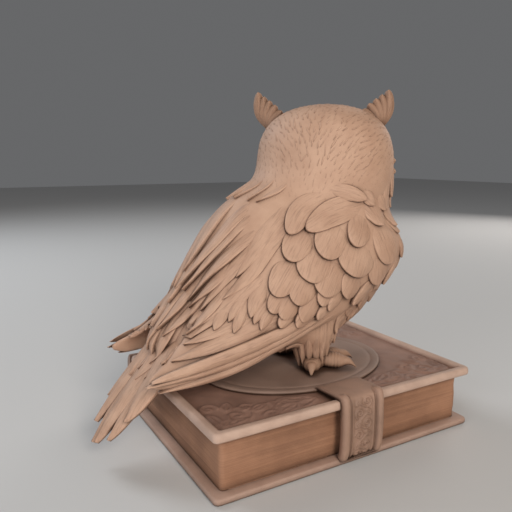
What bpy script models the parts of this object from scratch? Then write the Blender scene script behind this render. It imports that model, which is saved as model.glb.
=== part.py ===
"""Owl figurine: a perched owl, head turned to its left, standing on a closed book with a clasp.

The real thing is cast in resin as separate pieces that are pegged and glued together.
Millimetres are used for every size below and turned into metres when a mesh is made.
+Z is up, the owl's breast faces -Y, its left side is +X, and the book lies on the floor at Z = 0
with its spine along +X and its clasp on the fore-edge at -X.
"""
import math

import bmesh
import bpy
import numpy as np
from mathutils.bvhtree import BVHTree

MM = 0.001

# Driving sizes
GAP = 0.3                 # clearance between pieces that touch
BOOK_LENGTH = 171.0       # along Y
BOOK_WIDTH = 130.0        # along X, over the spine
BOOK_THICKNESS = 36.0     # along Z
BACK_BOARD = 3.6          # thickness of the lower cover
FRONT_BOARD = 4.7         # thickness of the upper cover at its rim
PAGE_INSET = 5.4          # how far the pages sit inside the covers
PANEL_DEPTH = 2.5         # recess of the front cover inside its rim
RIM_WIDTH = 5.2
SPINE_THICKNESS = 5.0
SPINE_CROWN = 2.0         # how far the spine's back is rounded out

MEDALLION_RADIUS_X = 47.0
MEDALLION_RADIUS_Y = 60.0
MEDALLION_THICKNESS = 1.6
MEDALLION_CENTRE = (2.0, 0.0)
# The disc's edge from bottom to top: inset, height
MEDALLION_EDGE = [(0.0, 0.0), (0.0, 0.6), (1.2, MEDALLION_THICKNESS)]

STRAP_WIDTH = 27.0
STRAP_THICKNESS = 2.4
STRAP_REACH = 22.0        # how far the strap lies over the front cover
STRAP_FOOT = 4.0          # height of the strap's lower end, just over the back board
# Raised cord along each edge of the strap: distance from the edge, height over the strap's face
STRAP_CORD = [(0.0, 0.0), (0.3, 1.1), (1.3, 1.5), (2.3, 1.1), (2.9, 0.0)]

HEAD_CENTRE = (0.0, -22.0, 150.0)
HEAD_TURN = math.radians(50.0)    # from straight ahead towards the owl's left
EYE_RADIUS = 8.0
EYE_SPACING = 31.0
EYE_HEIGHT = 156.0
EYE_AHEAD = 29.5          # distance of an eye's centre ahead of the head's axis

LEG_X = 16.0
LEG_Y = -4.0
HUB_RADII = (7.5, 7.5, 5.0)
HUB_LIFT = 5.4            # height of a foot's hub centre above its sole
PIN_RADIUS = 1.5
PIN_BOTTOM = 12.0
PIN_TOP = 82.0
NECK_DOWEL_RADIUS = 5.0
NECK_DOWEL_SPAN = (130.0, 168.0)      # heights of its ends
WING_PEG_RADIUS = 2.5
WING_PEG_SPAN = (28.0, 40.5)          # distances of its ends from the middle plane
WING_PEG_Y = 6.0
WING_PEG_Z = 100.0
TAIL_PEG_RADIUS = 1.75
TAIL_PEG_START = (0.0, 74.0, 65.5)
TAIL_PEG_END = (0.0, 94.0, 43.7)

RING_POINTS = 24

# Torso sections from rump to neck: back (y, z), belly (y, z), half width
TORSO_SECTIONS = [
    ((92, 61), (80, 49), 9),
    ((87, 70), (58, 46), 17),
    ((79, 82), (22, 47), 25),
    ((70, 97), (-20, 53), 31),
    ((61, 113), (-48, 68), 35),
    ((52, 128), (-66, 88), 36),
    ((38, 140), (-69, 111), 36),
    ((24, 147), (-58, 133), 34),
    ((6, 157), (-42, 151), 23),
]

# Right wing sections from the bend to the tip: upper edge, outermost point, lower edge (x, y, z)
WING_SECTIONS = [
    ((-30, -52, 120), (-33, -56, 112), (-29, -57, 102)),
    ((-33, -38, 129), (-41, -43, 113), (-31, -50, 91)),
    ((-35, -10, 131), (-45, -19, 111), (-35, -29, 81)),
    ((-27, 22, 133), (-44, 10, 100), (-37, -2, 70)),
    ((-19, 48, 120), (-41, 38, 85), (-36, 28, 61)),
    ((-17, 64, 95), (-38, 60, 71), (-35, 58, 53)),
    ((-19, 75, 76), (-35, 79, 61), (-34, 80, 48)),
    ((-24, 90, 62), (-33, 93, 55), (-33, 94, 47)),
    ((-30, 103, 56), (-32, 105, 53), (-32, 104, 50)),
]
WING_THICKNESS = 8.0
WING_TIP_THICKNESS = 2.4
WING_EDGE_SHARE = 0.35    # thickness along a wing's upper and lower edges, as a share of its middle
WING_EDGE = 2.4           # least height of a wing's outer face over the torso
WING_CLEARANCE = 1.3      # room left under a wing's inner face, because both skins are faceted
TIP_START = 0.7           # share of the wing's length after which it stands clear of the torso

# Tail sections from root to tip: centre (y, z), half width, half thickness
TAIL_SECTIONS = [
    ((80, 59), 13, 5.0),
    ((92, 46), 19, 4.2),
    ((104, 33), 22, 3.4),
    ((115, 21), 19, 2.6),
    ((123, 11), 9, 1.6),
]

TAIL_ARCH = 2.0           # how far the tail's sides droop below its middle

# Trouser sections from top to ankle: height, half width, half depth, shift along Y
LEG_SECTIONS = [
    (72.0, 14.0, 17.0, 4.0),
    (60.0, 13.0, 15.0, 2.0),
    (52.0, 10.5, 11.5, 0.0),
    (46.5, 7.0, 7.5, 0.0),
]

# Ear tuft sections from root to tip: distance to the side, height, half width, half thickness
TUFT_SECTIONS = [
    (25.0, 168.0, 8.0, 7.0),
    (30.5, 177.0, 8.5, 7.0),
    (33.5, 186.0, 7.5, 5.4),
    (35.5, 194.0, 4.5, 3.4),
    (36.5, 199.4, 1.2, 1.0),
]
TUFT_SLANT = 0.35         # how steeply a section drops towards the outside

# Beak sections from root to tip: distance ahead of the head's axis, height, half width, half depth
BEAK_SECTIONS = [
    (34.0, 152.0, 4.5, 5.0),
    (39.5, 149.0, 4.2, 4.6),
    (44.0, 143.5, 3.0, 3.2),
    (45.5, 138.0, 1.6, 1.7),
    (45.0, 134.0, 0.5, 0.5),
]

BEAK_LEAN = 0.35          # how far the top of a section leads its bottom

# Head sections from neck to crown: height, radius
HEAD_SECTIONS = [
    (124.0, 26.0),
    (133.0, 36.0),
    (139.0, 40.0),
    (149.0, 41.0),
    (160.0, 40.5),
    (170.0, 38.5),
    (178.0, 34.5),
    (184.5, 27.0),
    (188.5, 17.0),
    (190.5, 5.0),
]
FACE_FLATTENING = 0.08    # how much nearer the face lies to the head's axis

# Toes of the right foot: heading in degrees from straight ahead towards the owl's right, reach
TOES = [(-28.0, 25.0), (2.0, 28.0), (38.0, 25.0), (128.0, 15.0)]
TOE_RADIUS = 5.0
# Along a toe: fraction of its reach, radius factor, height of its centre above the medallion
TOE_PROFILE = [
    (0.0, 0.80, 5.4),
    (0.35, 0.98, 5.2),
    (0.62, 0.86, 4.8),
    (0.74, 0.55, 5.0),
    (0.88, 0.34, 4.0),
    (1.0, 0.1, 1.4),
]


def clear_scene():
    for item in list(bpy.data.objects):
        bpy.data.objects.remove(item, do_unlink=True)


def resin(name, colour, roughness=0.62, metallic=0.0):
    """A plain Principled material in the piece's own colour."""
    material = bpy.data.materials.new(name)
    material.use_nodes = True
    shader = material.node_tree.nodes["Principled BSDF"]
    shader.inputs["Base Color"].default_value = (*colour, 1.0)
    shader.inputs["Roughness"].default_value = roughness
    shader.inputs["Metallic"].default_value = metallic
    return material


def mesh_object(name, points, faces, material=None, smooth=True):
    """An object from points in millimetres, with its faces turned outwards."""
    mesh = bpy.data.meshes.new(name)
    mesh.from_pydata([[value * MM for value in point] for point in points], [], faces)
    shell = bmesh.new()
    shell.from_mesh(mesh)
    bmesh.ops.recalc_face_normals(shell, faces=shell.faces)
    shell.to_mesh(mesh)
    shell.free()
    item = bpy.data.objects.new(name, mesh)
    bpy.context.collection.objects.link(item)
    if material:
        mesh.materials.append(material)
    if smooth:
        mesh.shade_smooth()
        mesh.set_sharp_from_angle(angle=math.radians(50))
    return item


def loft(name, rings, material=None):
    """A closed skin over rings of equal length, each end closed by one face."""
    count = len(rings[0])
    points = [point for ring in rings for point in ring]
    faces = []
    for row in range(len(rings) - 1):
        for column in range(count):
            following = (column + 1) % count
            faces.append((row * count + column, row * count + following,
                          (row + 1) * count + following, (row + 1) * count + column))
    faces.append(tuple(range(count)))
    faces.append(tuple(range(len(points) - count, len(points))))
    return mesh_object(name, points, faces, material)


def unit(vector):
    return vector / np.linalg.norm(vector)


def smooth_rows(rows, steps):
    """Catmull-Rom rows between the given rows of numbers, with the first and last kept."""
    rows = np.array(rows, float)
    padded = np.vstack([2 * rows[0] - rows[1], rows, 2 * rows[-1] - rows[-2]])
    result = []
    for index in range(len(rows) - 1):
        before, start, end, after = padded[index:index + 4]
        for step in range(steps):
            t = step / steps
            result.append(0.5 * (2 * start + (end - before) * t
                                 + (2 * before - 5 * start + 4 * end - after) * t ** 2
                                 + (3 * start - before - 3 * end + after) * t ** 3))
    result.append(rows[-1])
    return result


def box(name, low, high, material=None, bevel=0.0, segments=2):
    """A block between two corners, with its edges rounded by a Bevel modifier."""
    (x0, y0, z0), (x1, y1, z1) = low, high
    points = [(x, y, z) for z in (z0, z1) for x, y in ((x0, y0), (x1, y0), (x1, y1), (x0, y1))]
    faces = [(0, 1, 2, 3), (4, 5, 6, 7), (0, 1, 5, 4), (1, 2, 6, 5), (2, 3, 7, 6), (3, 0, 4, 7)]
    item = mesh_object(name, points, faces, material, smooth=False)
    if bevel:
        rounding = item.modifiers.new("rounded_edges", "BEVEL")
        rounding.width = bevel * MM
        rounding.segments = segments
    return item


def rod(name, start, end, radius, material=None, sides=16):
    """A round rod between two points."""
    start = np.array(start, float)
    end = np.array(end, float)
    axis = unit(end - start)
    helper = np.array((1.0, 0.0, 0.0)) if abs(axis[0]) < 0.9 else np.array((0.0, 1.0, 0.0))
    across = unit(np.cross(axis, helper))
    upward = np.cross(axis, across)
    rings = []
    for centre in (start, end):
        rings.append([tuple(centre + radius * (math.cos(angle) * across + math.sin(angle) * upward))
                      for angle in np.linspace(0, 2 * math.pi, sides, endpoint=False)])
    return loft(name, rings, material)


def ball(name, centre, radii, material=None, segments=16, rows=10):
    """An ellipsoid with its axes along X, Y and Z."""
    mesh = bpy.data.meshes.new(name)
    shell = bmesh.new()
    bmesh.ops.create_uvsphere(shell, u_segments=segments, v_segments=rows, radius=1.0)
    for vertex in shell.verts:
        vertex.co = [(centre[axis] + vertex.co[axis] * radii[axis]) * MM for axis in range(3)]
    shell.to_mesh(mesh)
    shell.free()
    item = bpy.data.objects.new(name, mesh)
    bpy.context.collection.objects.link(item)
    if material:
        mesh.materials.append(material)
    mesh.shade_smooth()
    return item


def as_cutter(item):
    """Hides an object that only shapes others."""
    item.hide_render = True
    item.display_type = "WIRE"
    return item


def combine(item, other, operation="DIFFERENCE"):
    change = item.modifiers.new(operation.lower() + "_" + other.name, "BOOLEAN")
    change.operation = operation
    change.solver = "EXACT"
    change.object = other


def ellipse_ring(centre, half_x, half_y, z):
    return [(centre[0] + half_x * math.cos(angle), centre[1] + half_y * math.sin(angle), z)
            for angle in np.linspace(0, 2 * math.pi, 2 * RING_POINTS, endpoint=False)]


# ---------------------------------------------------------------- the book

FORE_EDGE_X = -BOOK_WIDTH / 2
SPINE_X = BOOK_WIDTH / 2 - SPINE_CROWN
HALF_LENGTH = BOOK_LENGTH / 2
BOARD_END_X = SPINE_X - SPINE_THICKNESS
FRONT_BOARD_Z = BOOK_THICKNESS - FRONT_BOARD
PANEL_Z = BOOK_THICKNESS - PANEL_DEPTH
MEDALLION_TOP = PANEL_Z + GAP + MEDALLION_THICKNESS
FOOT_Z = MEDALLION_TOP + GAP


def back_cover(material):
    return box("back_cover", (FORE_EDGE_X, -HALF_LENGTH, 0.0),
               (BOARD_END_X - GAP, HALF_LENGTH, BACK_BOARD), material, bevel=1.0)


def front_cover(material):
    """The upper board, with its panel sunk inside a rounded rim."""
    board = box("front_cover", (FORE_EDGE_X, -HALF_LENGTH, FRONT_BOARD_Z),
                (BOARD_END_X - GAP, HALF_LENGTH, BOOK_THICKNESS), material, bevel=1.4, segments=3)
    recess = box("panel_recess",
                 (FORE_EDGE_X + RIM_WIDTH, -HALF_LENGTH + RIM_WIDTH, PANEL_Z),
                 (BOARD_END_X - GAP - RIM_WIDTH, HALF_LENGTH - RIM_WIDTH, BOOK_THICKNESS + 2))
    combine(board, as_cutter(recess))
    return board


def page_block(material):
    return box("page_block",
               (FORE_EDGE_X + PAGE_INSET, -HALF_LENGTH + PAGE_INSET, BACK_BOARD + GAP),
               (BOARD_END_X - GAP, HALF_LENGTH - PAGE_INSET, FRONT_BOARD_Z - GAP), material)


def spine(material):
    """A full-height strip with a rounded back."""
    outline = [(BOARD_END_X, 0.0)]
    for angle in np.linspace(-math.pi / 2, math.pi / 2, 9):
        outline.append((SPINE_X + SPINE_CROWN * math.cos(angle),
                        BOOK_THICKNESS / 2 * (1 + math.sin(angle))))
    outline.append((BOARD_END_X, BOOK_THICKNESS))
    rings = [[(x, y, z) for x, z in outline] for y in (-HALF_LENGTH, HALF_LENGTH)]
    return loft("spine", rings, material)


def cover_medallion(material):
    """The low oval disc that the feet stand on, with a turned edge."""
    base = PANEL_Z + GAP
    rings = []
    for inset, height in MEDALLION_EDGE:
        rings.append(ellipse_ring(MEDALLION_CENTRE, MEDALLION_RADIUS_X - inset,
                                  MEDALLION_RADIUS_Y - inset, base + height))
    return loft("cover_medallion", rings, material)


def strap_section(y, raised):
    """The strap's outline seen from its side: a hook over the fore-edge, thicker by raised."""
    inner_x = FORE_EDGE_X - GAP
    face_x = inner_x - STRAP_THICKNESS - raised
    under = BOOK_THICKNESS + GAP
    crown = under + STRAP_THICKNESS + raised
    end_x = FORE_EDGE_X + STRAP_REACH
    outline = [(inner_x, STRAP_FOOT), (inner_x, under), (end_x, under),
               (end_x, under + STRAP_THICKNESS * 0.4), (inner_x + 4.0, crown),
               (inner_x - 0.8, crown - 0.8), (face_x, under - 4.3),
               (face_x - 0.8, BOOK_THICKNESS / 2), (face_x, STRAP_FOOT + 3.0),
               (inner_x - 1.2, STRAP_FOOT)]
    return [(x, y, z) for x, z in outline]


def clasp_strap(material):
    """The strap that holds the covers shut, with a raised cord along both of its edges."""
    half = STRAP_WIDTH / 2
    rings = [strap_section(inset - half, raised) for inset, raised in STRAP_CORD]
    rings += [strap_section(half - inset, raised) for inset, raised in reversed(STRAP_CORD)]
    return loft("clasp_strap", rings, material)


# ---------------------------------------------------------------- the owl's body

def torso_rings(grow=0.0):
    """Sections of the torso, from rump to neck, grown outwards by grow."""
    rows = [(*back, *belly, width) for back, belly, width in TORSO_SECTIONS]
    rings = []
    for back_y, back_z, belly_y, belly_z, width in smooth_rows(rows, 2):
        back = np.array((back_y, back_z))
        belly = np.array((belly_y, belly_z))
        middle = (back + belly) / 2
        half = (back - belly) / 2
        half *= 1 + grow / np.linalg.norm(half)
        ring = []
        for angle in np.linspace(0, 2 * math.pi, RING_POINTS, endpoint=False):
            y, z = middle + half * math.cos(angle)
            ring.append(((width + grow) * math.sin(angle), y, z))
        rings.append(ring)
    return rings


def torso(material):
    return loft("torso", torso_rings(), material)


def surface_tree(item):
    """A tree of an object's faces, for finding the nearest point of its skin."""
    shell = bmesh.new()
    shell.from_mesh(item.data)
    tree = BVHTree.FromBMesh(shell)
    shell.free()
    return tree


def torso_clearance():
    """The torso grown by the gap, which hollows whatever sits against it."""
    item = loft("torso_clearance", torso_rings(grow=GAP), None)
    return as_cutter(item)


def head_rings(grow=0.0):
    """Rings from the neck up to the crown, with a flatter face than back."""
    rings = []
    for z, radius in smooth_rows(HEAD_SECTIONS, 2):
        ring = []
        for angle in np.linspace(0, 2 * math.pi, RING_POINTS, endpoint=False):
            forward = math.cos(angle)
            reach = (radius + grow) * (1 - FACE_FLATTENING * max(forward, 0.0) ** 2)
            heading = angle + HEAD_TURN
            ring.append((HEAD_CENTRE[0] + reach * math.sin(heading),
                         HEAD_CENTRE[1] - reach * math.cos(heading), z + grow * (z > HEAD_CENTRE[2])))
        rings.append(ring)
    return rings


def head_point(forward, left, z):
    """A point given along the face's heading and towards the owl's left cheek."""
    return (HEAD_CENTRE[0] + forward * math.sin(HEAD_TURN) + left * math.cos(HEAD_TURN),
            HEAD_CENTRE[1] - forward * math.cos(HEAD_TURN) + left * math.sin(HEAD_TURN), z)


def head(material):
    return loft("head", head_rings(), material)


def head_clearance():
    return as_cutter(loft("head_clearance", head_rings(grow=GAP), None))


def ear_tuft(side, name, material):
    """A short horn of feathers that leans out over the temple; side is +1 for the left one."""
    rings = []
    for left, z, half_wide, half_thick in TUFT_SECTIONS:
        ring = []
        for angle in np.linspace(0, 2 * math.pi, 12, endpoint=False):
            ring.append(head_point(half_thick * math.sin(angle),
                                   side * left + half_wide * math.cos(angle),
                                   z - side * TUFT_SLANT * half_wide * math.cos(angle)))
        rings.append(ring)
    return loft(name, rings, material)


def eye(side, name, material, grow=0.0):
    centre = head_point(EYE_AHEAD, side * EYE_SPACING / 2, EYE_HEIGHT)
    return ball(name, centre, (EYE_RADIUS + grow,) * 3, material)


def beak(material):
    """A short hooked beak on the middle of the face."""
    rings = []
    for forward, z, half_wide, half_deep in BEAK_SECTIONS:
        ring = []
        for angle in np.linspace(0, 2 * math.pi, 10, endpoint=False):
            ring.append(head_point(forward + BEAK_LEAN * half_deep * math.sin(angle),
                                   half_wide * math.cos(angle), z + half_deep * math.sin(angle)))
        rings.append(ring)
    return loft("beak", rings, material)


def clear_of_torso(point, tree):
    """Moves a point out until it stands off the torso by the wing's least height."""
    near, normal = tree.find_nearest(point * MM)[:2]
    near = np.array(near) / MM
    normal = np.array(normal)
    if np.dot(point - near, normal) < WING_EDGE:
        point = near + normal * WING_EDGE
    return point, unit(near - point)


def room_inside(point, inward, tree):
    """How far a wing may reach inwards from a point before it nears the torso."""
    distance = tree.find_nearest(point * MM)[3]
    hit = tree.ray_cast(point * MM, inward)[3]
    if hit is not None:
        distance = min(distance, hit)
    return distance / MM - WING_CLEARANCE


def wing_rings(side, tree):
    """Closed sections of a folded wing, whose inner face follows the torso; side is -1 on the right."""
    rows = smooth_rows([(*upper, *outer, *lower) for upper, outer, lower in WING_SECTIONS], 2)
    rings = []
    for index, row in enumerate(rows):
        along = index / (len(rows) - 1)
        blend = min(max((along - TIP_START) / (1 - TIP_START) * 2, 0.0), 1.0)
        most = WING_THICKNESS + (WING_TIP_THICKNESS - WING_THICKNESS) * along ** 0.6
        outer_face = []
        inner_face = []
        for t in np.linspace(0, 1, 9):
            point = curve_point(row[:3], row[3:6], row[6:], t)
            point, inward = clear_of_torso(point * (-side, 1, 1), tree)
            inward = unit((1 - blend) * inward + blend * np.array((-side, 0.0, 0.0)))
            swell = WING_EDGE_SHARE + (1 - WING_EDGE_SHARE) * math.sin(math.pi * t)
            depth = min(most * swell, room_inside(point, inward, tree))
            outer_face.append(point)
            inner_face.append(point + inward * depth)
        rings.append(outer_face + inner_face[::-1])
    return rings


def curve_point(start, through, end, t):
    """A point on the parabola that passes through the middle point at t = 0.5."""
    control = 2 * through - (start + end) / 2
    return (1 - t) ** 2 * start + 2 * t * (1 - t) * control + t ** 2 * end


def wing(side, name, material, tree):
    return loft(name, wing_rings(side, tree), material)


def tail(material):
    rows = [(*centre, width, thickness) for centre, width, thickness in TAIL_SECTIONS]
    rings = []
    direction = unit(np.array(TAIL_SECTIONS[-1][0], float) - np.array(TAIL_SECTIONS[0][0], float))
    normal = np.array((-direction[1], direction[0]))
    for y, z, width, thickness in smooth_rows(rows, 2):
        ring = []
        for angle in np.linspace(0, 2 * math.pi, 16, endpoint=False):
            lift = thickness * math.sin(angle) - TAIL_ARCH * math.cos(angle) ** 2
            ring.append((width * math.cos(angle), y + lift * normal[0], z + lift * normal[1]))
        rings.append(ring)
    return loft("tail", rings, material)


def leg(side, name, material):
    """The feathered thigh between the belly and the foot."""
    rings = []
    for z, half_x, half_y, shift in LEG_SECTIONS:
        rings.append([(side * LEG_X + half_x * math.cos(angle),
                       LEG_Y + shift + half_y * math.sin(angle), z)
                      for angle in np.linspace(0, 2 * math.pi, 16, endpoint=False)])
    return loft(name, rings, material)


def toe(side, name, heading, reach):
    """One toe with its claw, from the middle of the foot outwards."""
    outward = np.array((side * math.sin(math.radians(heading)), -math.cos(math.radians(heading))))
    across = np.array((-outward[1], outward[0]))
    start = np.array((side * LEG_X, LEG_Y))
    rings = []
    for fraction, factor, height in TOE_PROFILE:
        radius = TOE_RADIUS * factor
        centre = start + outward * reach * fraction
        ring = []
        for angle in np.linspace(0, 2 * math.pi, 10, endpoint=False):
            x, y = centre + across * radius * math.cos(angle)
            ring.append((x, y, FOOT_Z + height + radius * math.sin(angle)))
        rings.append(ring)
    return loft(name, rings)


def foot(side, name, material):
    """Hub and four toes as one casting."""
    hub = ball(name, (side * LEG_X, LEG_Y, FOOT_Z + HUB_LIFT), HUB_RADII, material)
    for index, (heading, reach) in enumerate(TOES):
        part = toe(side, name + "_toe_%d" % index, heading, reach)
        combine(hub, as_cutter(part), "UNION")
    return hub


# ---------------------------------------------------------------- pegs and pins

def leg_pin(side, name, material, grow=0.0):
    return rod(name, (side * LEG_X, LEG_Y, PIN_BOTTOM - grow), (side * LEG_X, LEG_Y, PIN_TOP + grow),
               PIN_RADIUS + grow, material, sides=12)


def neck_dowel(name, material, grow=0.0):
    x, y = HEAD_CENTRE[:2]
    low, high = NECK_DOWEL_SPAN
    return rod(name, (x, y, low - grow), (x, y, high + grow), NECK_DOWEL_RADIUS + grow, material)


def wing_peg(side, name, material, grow=0.0):
    inner, outer = WING_PEG_SPAN
    return rod(name, (side * (inner - grow), WING_PEG_Y, WING_PEG_Z),
               (side * (outer + grow), WING_PEG_Y, WING_PEG_Z),
               WING_PEG_RADIUS + grow, material, sides=12)


def tail_peg(name, material, grow=0.0):
    start = np.array(TAIL_PEG_START)
    end = np.array(TAIL_PEG_END)
    stretch = grow * unit(end - start)
    return rod(name, start - stretch, end + stretch, TAIL_PEG_RADIUS + grow, material, sides=12)


def build():
    clear_scene()
    tan = resin("owl_resin", (0.52, 0.34, 0.24))
    book_cover = resin("book_cover_resin", (0.40, 0.26, 0.19))
    pages = resin("page_resin", (0.48, 0.29, 0.19), roughness=0.7)
    strap_finish = resin("strap_resin", (0.36, 0.23, 0.17))
    medallion_finish = resin("medallion_resin", (0.33, 0.25, 0.20))
    eye_finish = resin("eye_resin", (0.42, 0.27, 0.19), roughness=0.35)
    claw_finish = resin("foot_resin", (0.38, 0.24, 0.17), roughness=0.5)
    steel = resin("pin_steel", (0.55, 0.55, 0.56), roughness=0.3, metallic=1.0)
    dowel = resin("dowel_wood", (0.55, 0.38, 0.22), roughness=0.8)

    back_cover(book_cover)
    cover = front_cover(book_cover)
    pages_block = page_block(pages)
    spine(book_cover)
    medallion = cover_medallion(medallion_finish)
    clasp_strap(strap_finish)

    body = torso(tan)
    body_tree = surface_tree(body)
    skull = head(tan)
    body_room = torso_clearance()
    head_room = head_clearance()
    combine(skull, body_room)
    face_beak = beak(claw_finish)
    combine(face_beak, head_room)

    neck_dowel("neck_dowel", dowel)
    neck_hole = as_cutter(neck_dowel("neck_hole", None, GAP))
    combine(body, neck_hole)
    combine(skull, neck_hole)

    fan = tail(tan)
    combine(fan, body_room)
    tail_peg("tail_peg", dowel)
    tail_hole = as_cutter(tail_peg("tail_hole", None, GAP))
    combine(body, tail_hole)
    combine(fan, tail_hole)

    for side, word in ((1, "left"), (-1, "right")):
        combine(ear_tuft(side, "ear_tuft_" + word, tan), head_room)
        eye(side, "eye_" + word, eye_finish)
        combine(skull, as_cutter(eye(side, "eye_socket_" + word, None, GAP)))

        folded_wing = wing(side, "wing_" + word, tan, body_tree)
        wing_peg(side, "wing_peg_" + word, dowel)
        peg_hole = as_cutter(wing_peg(side, "wing_peg_hole_" + word, None, GAP))
        combine(folded_wing, peg_hole)
        combine(body, peg_hole)

        thigh = leg(side, "leg_" + word, tan)
        combine(thigh, body_room)
        claw_foot = foot(side, "foot_" + word, claw_finish)
        leg_pin(side, "leg_pin_" + word, steel)
        pin_hole = as_cutter(leg_pin(side, "leg_pin_hole_" + word, None, GAP))
        for item in (body, thigh, claw_foot, medallion, cover, pages_block):
            combine(item, pin_hole)


build()
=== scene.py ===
"""Looks of the owl figurine: a feathered bird on a clasped book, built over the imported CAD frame.

The bird gets one smooth skin over its cast pieces, and closed feather shells are laid along that skin.
Shapes are worked out in millimetres, in the frame's axes: +Z up, the breast toward -Y, the spine at +X.
"""
import math

import bmesh
import bpy
import numpy as np
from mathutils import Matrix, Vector
from mathutils.bvhtree import BVHTree
from mathutils.kdtree import KDTree


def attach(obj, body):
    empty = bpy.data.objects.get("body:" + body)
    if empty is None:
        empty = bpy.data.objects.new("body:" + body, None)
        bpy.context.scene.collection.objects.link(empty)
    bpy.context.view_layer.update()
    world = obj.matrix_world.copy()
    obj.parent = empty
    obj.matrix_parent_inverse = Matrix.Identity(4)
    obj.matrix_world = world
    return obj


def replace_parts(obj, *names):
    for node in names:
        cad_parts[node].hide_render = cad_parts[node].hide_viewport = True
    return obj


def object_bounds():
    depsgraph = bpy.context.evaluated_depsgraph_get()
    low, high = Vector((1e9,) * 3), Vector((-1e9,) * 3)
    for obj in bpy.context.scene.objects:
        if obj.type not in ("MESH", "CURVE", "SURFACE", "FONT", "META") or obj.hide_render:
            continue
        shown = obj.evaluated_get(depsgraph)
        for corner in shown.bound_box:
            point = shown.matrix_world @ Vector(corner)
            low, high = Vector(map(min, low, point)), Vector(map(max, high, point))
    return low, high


MM = 0.001
SEED = 7

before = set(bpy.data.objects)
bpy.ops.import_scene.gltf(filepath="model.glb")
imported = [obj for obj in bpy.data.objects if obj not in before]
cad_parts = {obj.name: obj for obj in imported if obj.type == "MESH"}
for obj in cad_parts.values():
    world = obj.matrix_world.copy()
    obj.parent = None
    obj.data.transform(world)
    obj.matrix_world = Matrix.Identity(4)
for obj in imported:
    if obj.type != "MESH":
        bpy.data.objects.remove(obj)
CAD_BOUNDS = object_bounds()

# ---------------------------------------------------------------- camera, light and floor

CAMERA_PLACE = (-0.2778, 0.1871, 0.1603)
CAMERA_AIM = (0.8522, -0.4937, -0.1734)
CAMERA_LENS = 39.4


def add_camera():
    data = bpy.data.cameras.new("camera")
    data.lens = CAMERA_LENS
    data.sensor_width = 36.0
    data.clip_start = 0.01
    camera = bpy.data.objects.new("camera", data)
    bpy.context.collection.objects.link(camera)
    camera.location = CAMERA_PLACE
    camera.rotation_euler = Vector(CAMERA_AIM).to_track_quat("-Z", "Y").to_euler()
    bpy.context.scene.camera = camera


def area_light(name, place, aim, size, power, colour):
    data = bpy.data.lights.new(name, "AREA")
    data.shape = "DISK"
    data.size = size
    data.energy = power
    data.color = colour
    light = bpy.data.objects.new(name, data)
    bpy.context.collection.objects.link(light)
    light.location = place
    light.rotation_euler = (Vector(aim) - Vector(place)).to_track_quat("-Z", "Y").to_euler()


FLOOR_REACH = 3.0
FLOOR_DROP = 0.0002       # the floor lies this far under the book, so that the two faces don't coincide
FLOOR_COLOUR = (0.62, 0.61, 0.60, 1.0)
SKY_COLOUR = (0.75, 0.76, 0.78, 1.0)
SKY_STRENGTH = 0.18


def add_lights():
    """Soft key from behind the camera's right shoulder, fill from the tail side, front light and rim."""
    middle = (0.0, 0.0, 0.09)
    area_light("key", (-1.0, 0.18, 0.60), middle, 0.5, 8.4, (1.0, 0.94, 0.86))
    area_light("fill", (-0.45, 1.0, 0.35), middle, 0.7, 3.8, (0.86, 0.93, 1.0))
    area_light("front", (0.5, -1.1, 0.55), middle, 0.7, 3.8, (1.0, 0.96, 0.92))
    area_light("rim", (0.85, 0.45, 0.8), middle, 0.5, 5.5, (0.90, 0.95, 1.0))
    world = bpy.data.worlds.new("studio")
    world.use_nodes = True
    background = world.node_tree.nodes["Background"]
    background.inputs["Color"].default_value = SKY_COLOUR
    background.inputs["Strength"].default_value = SKY_STRENGTH
    bpy.context.scene.world = world
    bpy.context.scene.view_settings.view_transform = "Standard"


def add_floor():
    mesh = bpy.data.meshes.new("floor")
    corners = [(-FLOOR_REACH, -FLOOR_REACH, 0), (FLOOR_REACH, -FLOOR_REACH, 0),
               (FLOOR_REACH, FLOOR_REACH, 0), (-FLOOR_REACH, FLOOR_REACH, 0)]
    mesh.from_pydata(corners, [], [(0, 1, 2, 3)])
    floor = bpy.data.objects.new("floor", mesh)
    bpy.context.collection.objects.link(floor)
    floor.location.z = CAD_BOUNDS[0][2] - FLOOR_DROP
    material = bpy.data.materials.new("floor_paint")
    material.use_nodes = True
    shader = material.node_tree.nodes["Principled BSDF"]
    shader.inputs["Base Color"].default_value = FLOOR_COLOUR
    shader.inputs["Roughness"].default_value = 0.9
    mesh.materials.append(material)


# ---------------------------------------------------------------- the owl's smooth skin

SKIN_VOXEL = 1.12         # spacing of the skin's points, millimetres
SKIN_GROWTH = 0.95        # how far the cast pieces swell so that their glue gaps close
SKIN_NODES = ("torso", "head", "wing_left", "wing_right", "leg_left", "leg_right", "neck_dowel",
              "wing_peg_left", "wing_peg_right", "leg_pin_left", "leg_pin_right", "tail_peg",
              "tail")


def welded(node):
    """A CAD node's mesh with its split points joined again."""
    mesh = bpy.data.meshes.new(node + "_welded")
    shape = bmesh.new()
    shape.from_mesh(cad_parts[node].data)
    bmesh.ops.remove_doubles(shape, verts=shape.verts, dist=0.001 * MM)
    shape.to_mesh(mesh)
    shape.free()
    return mesh


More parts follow.
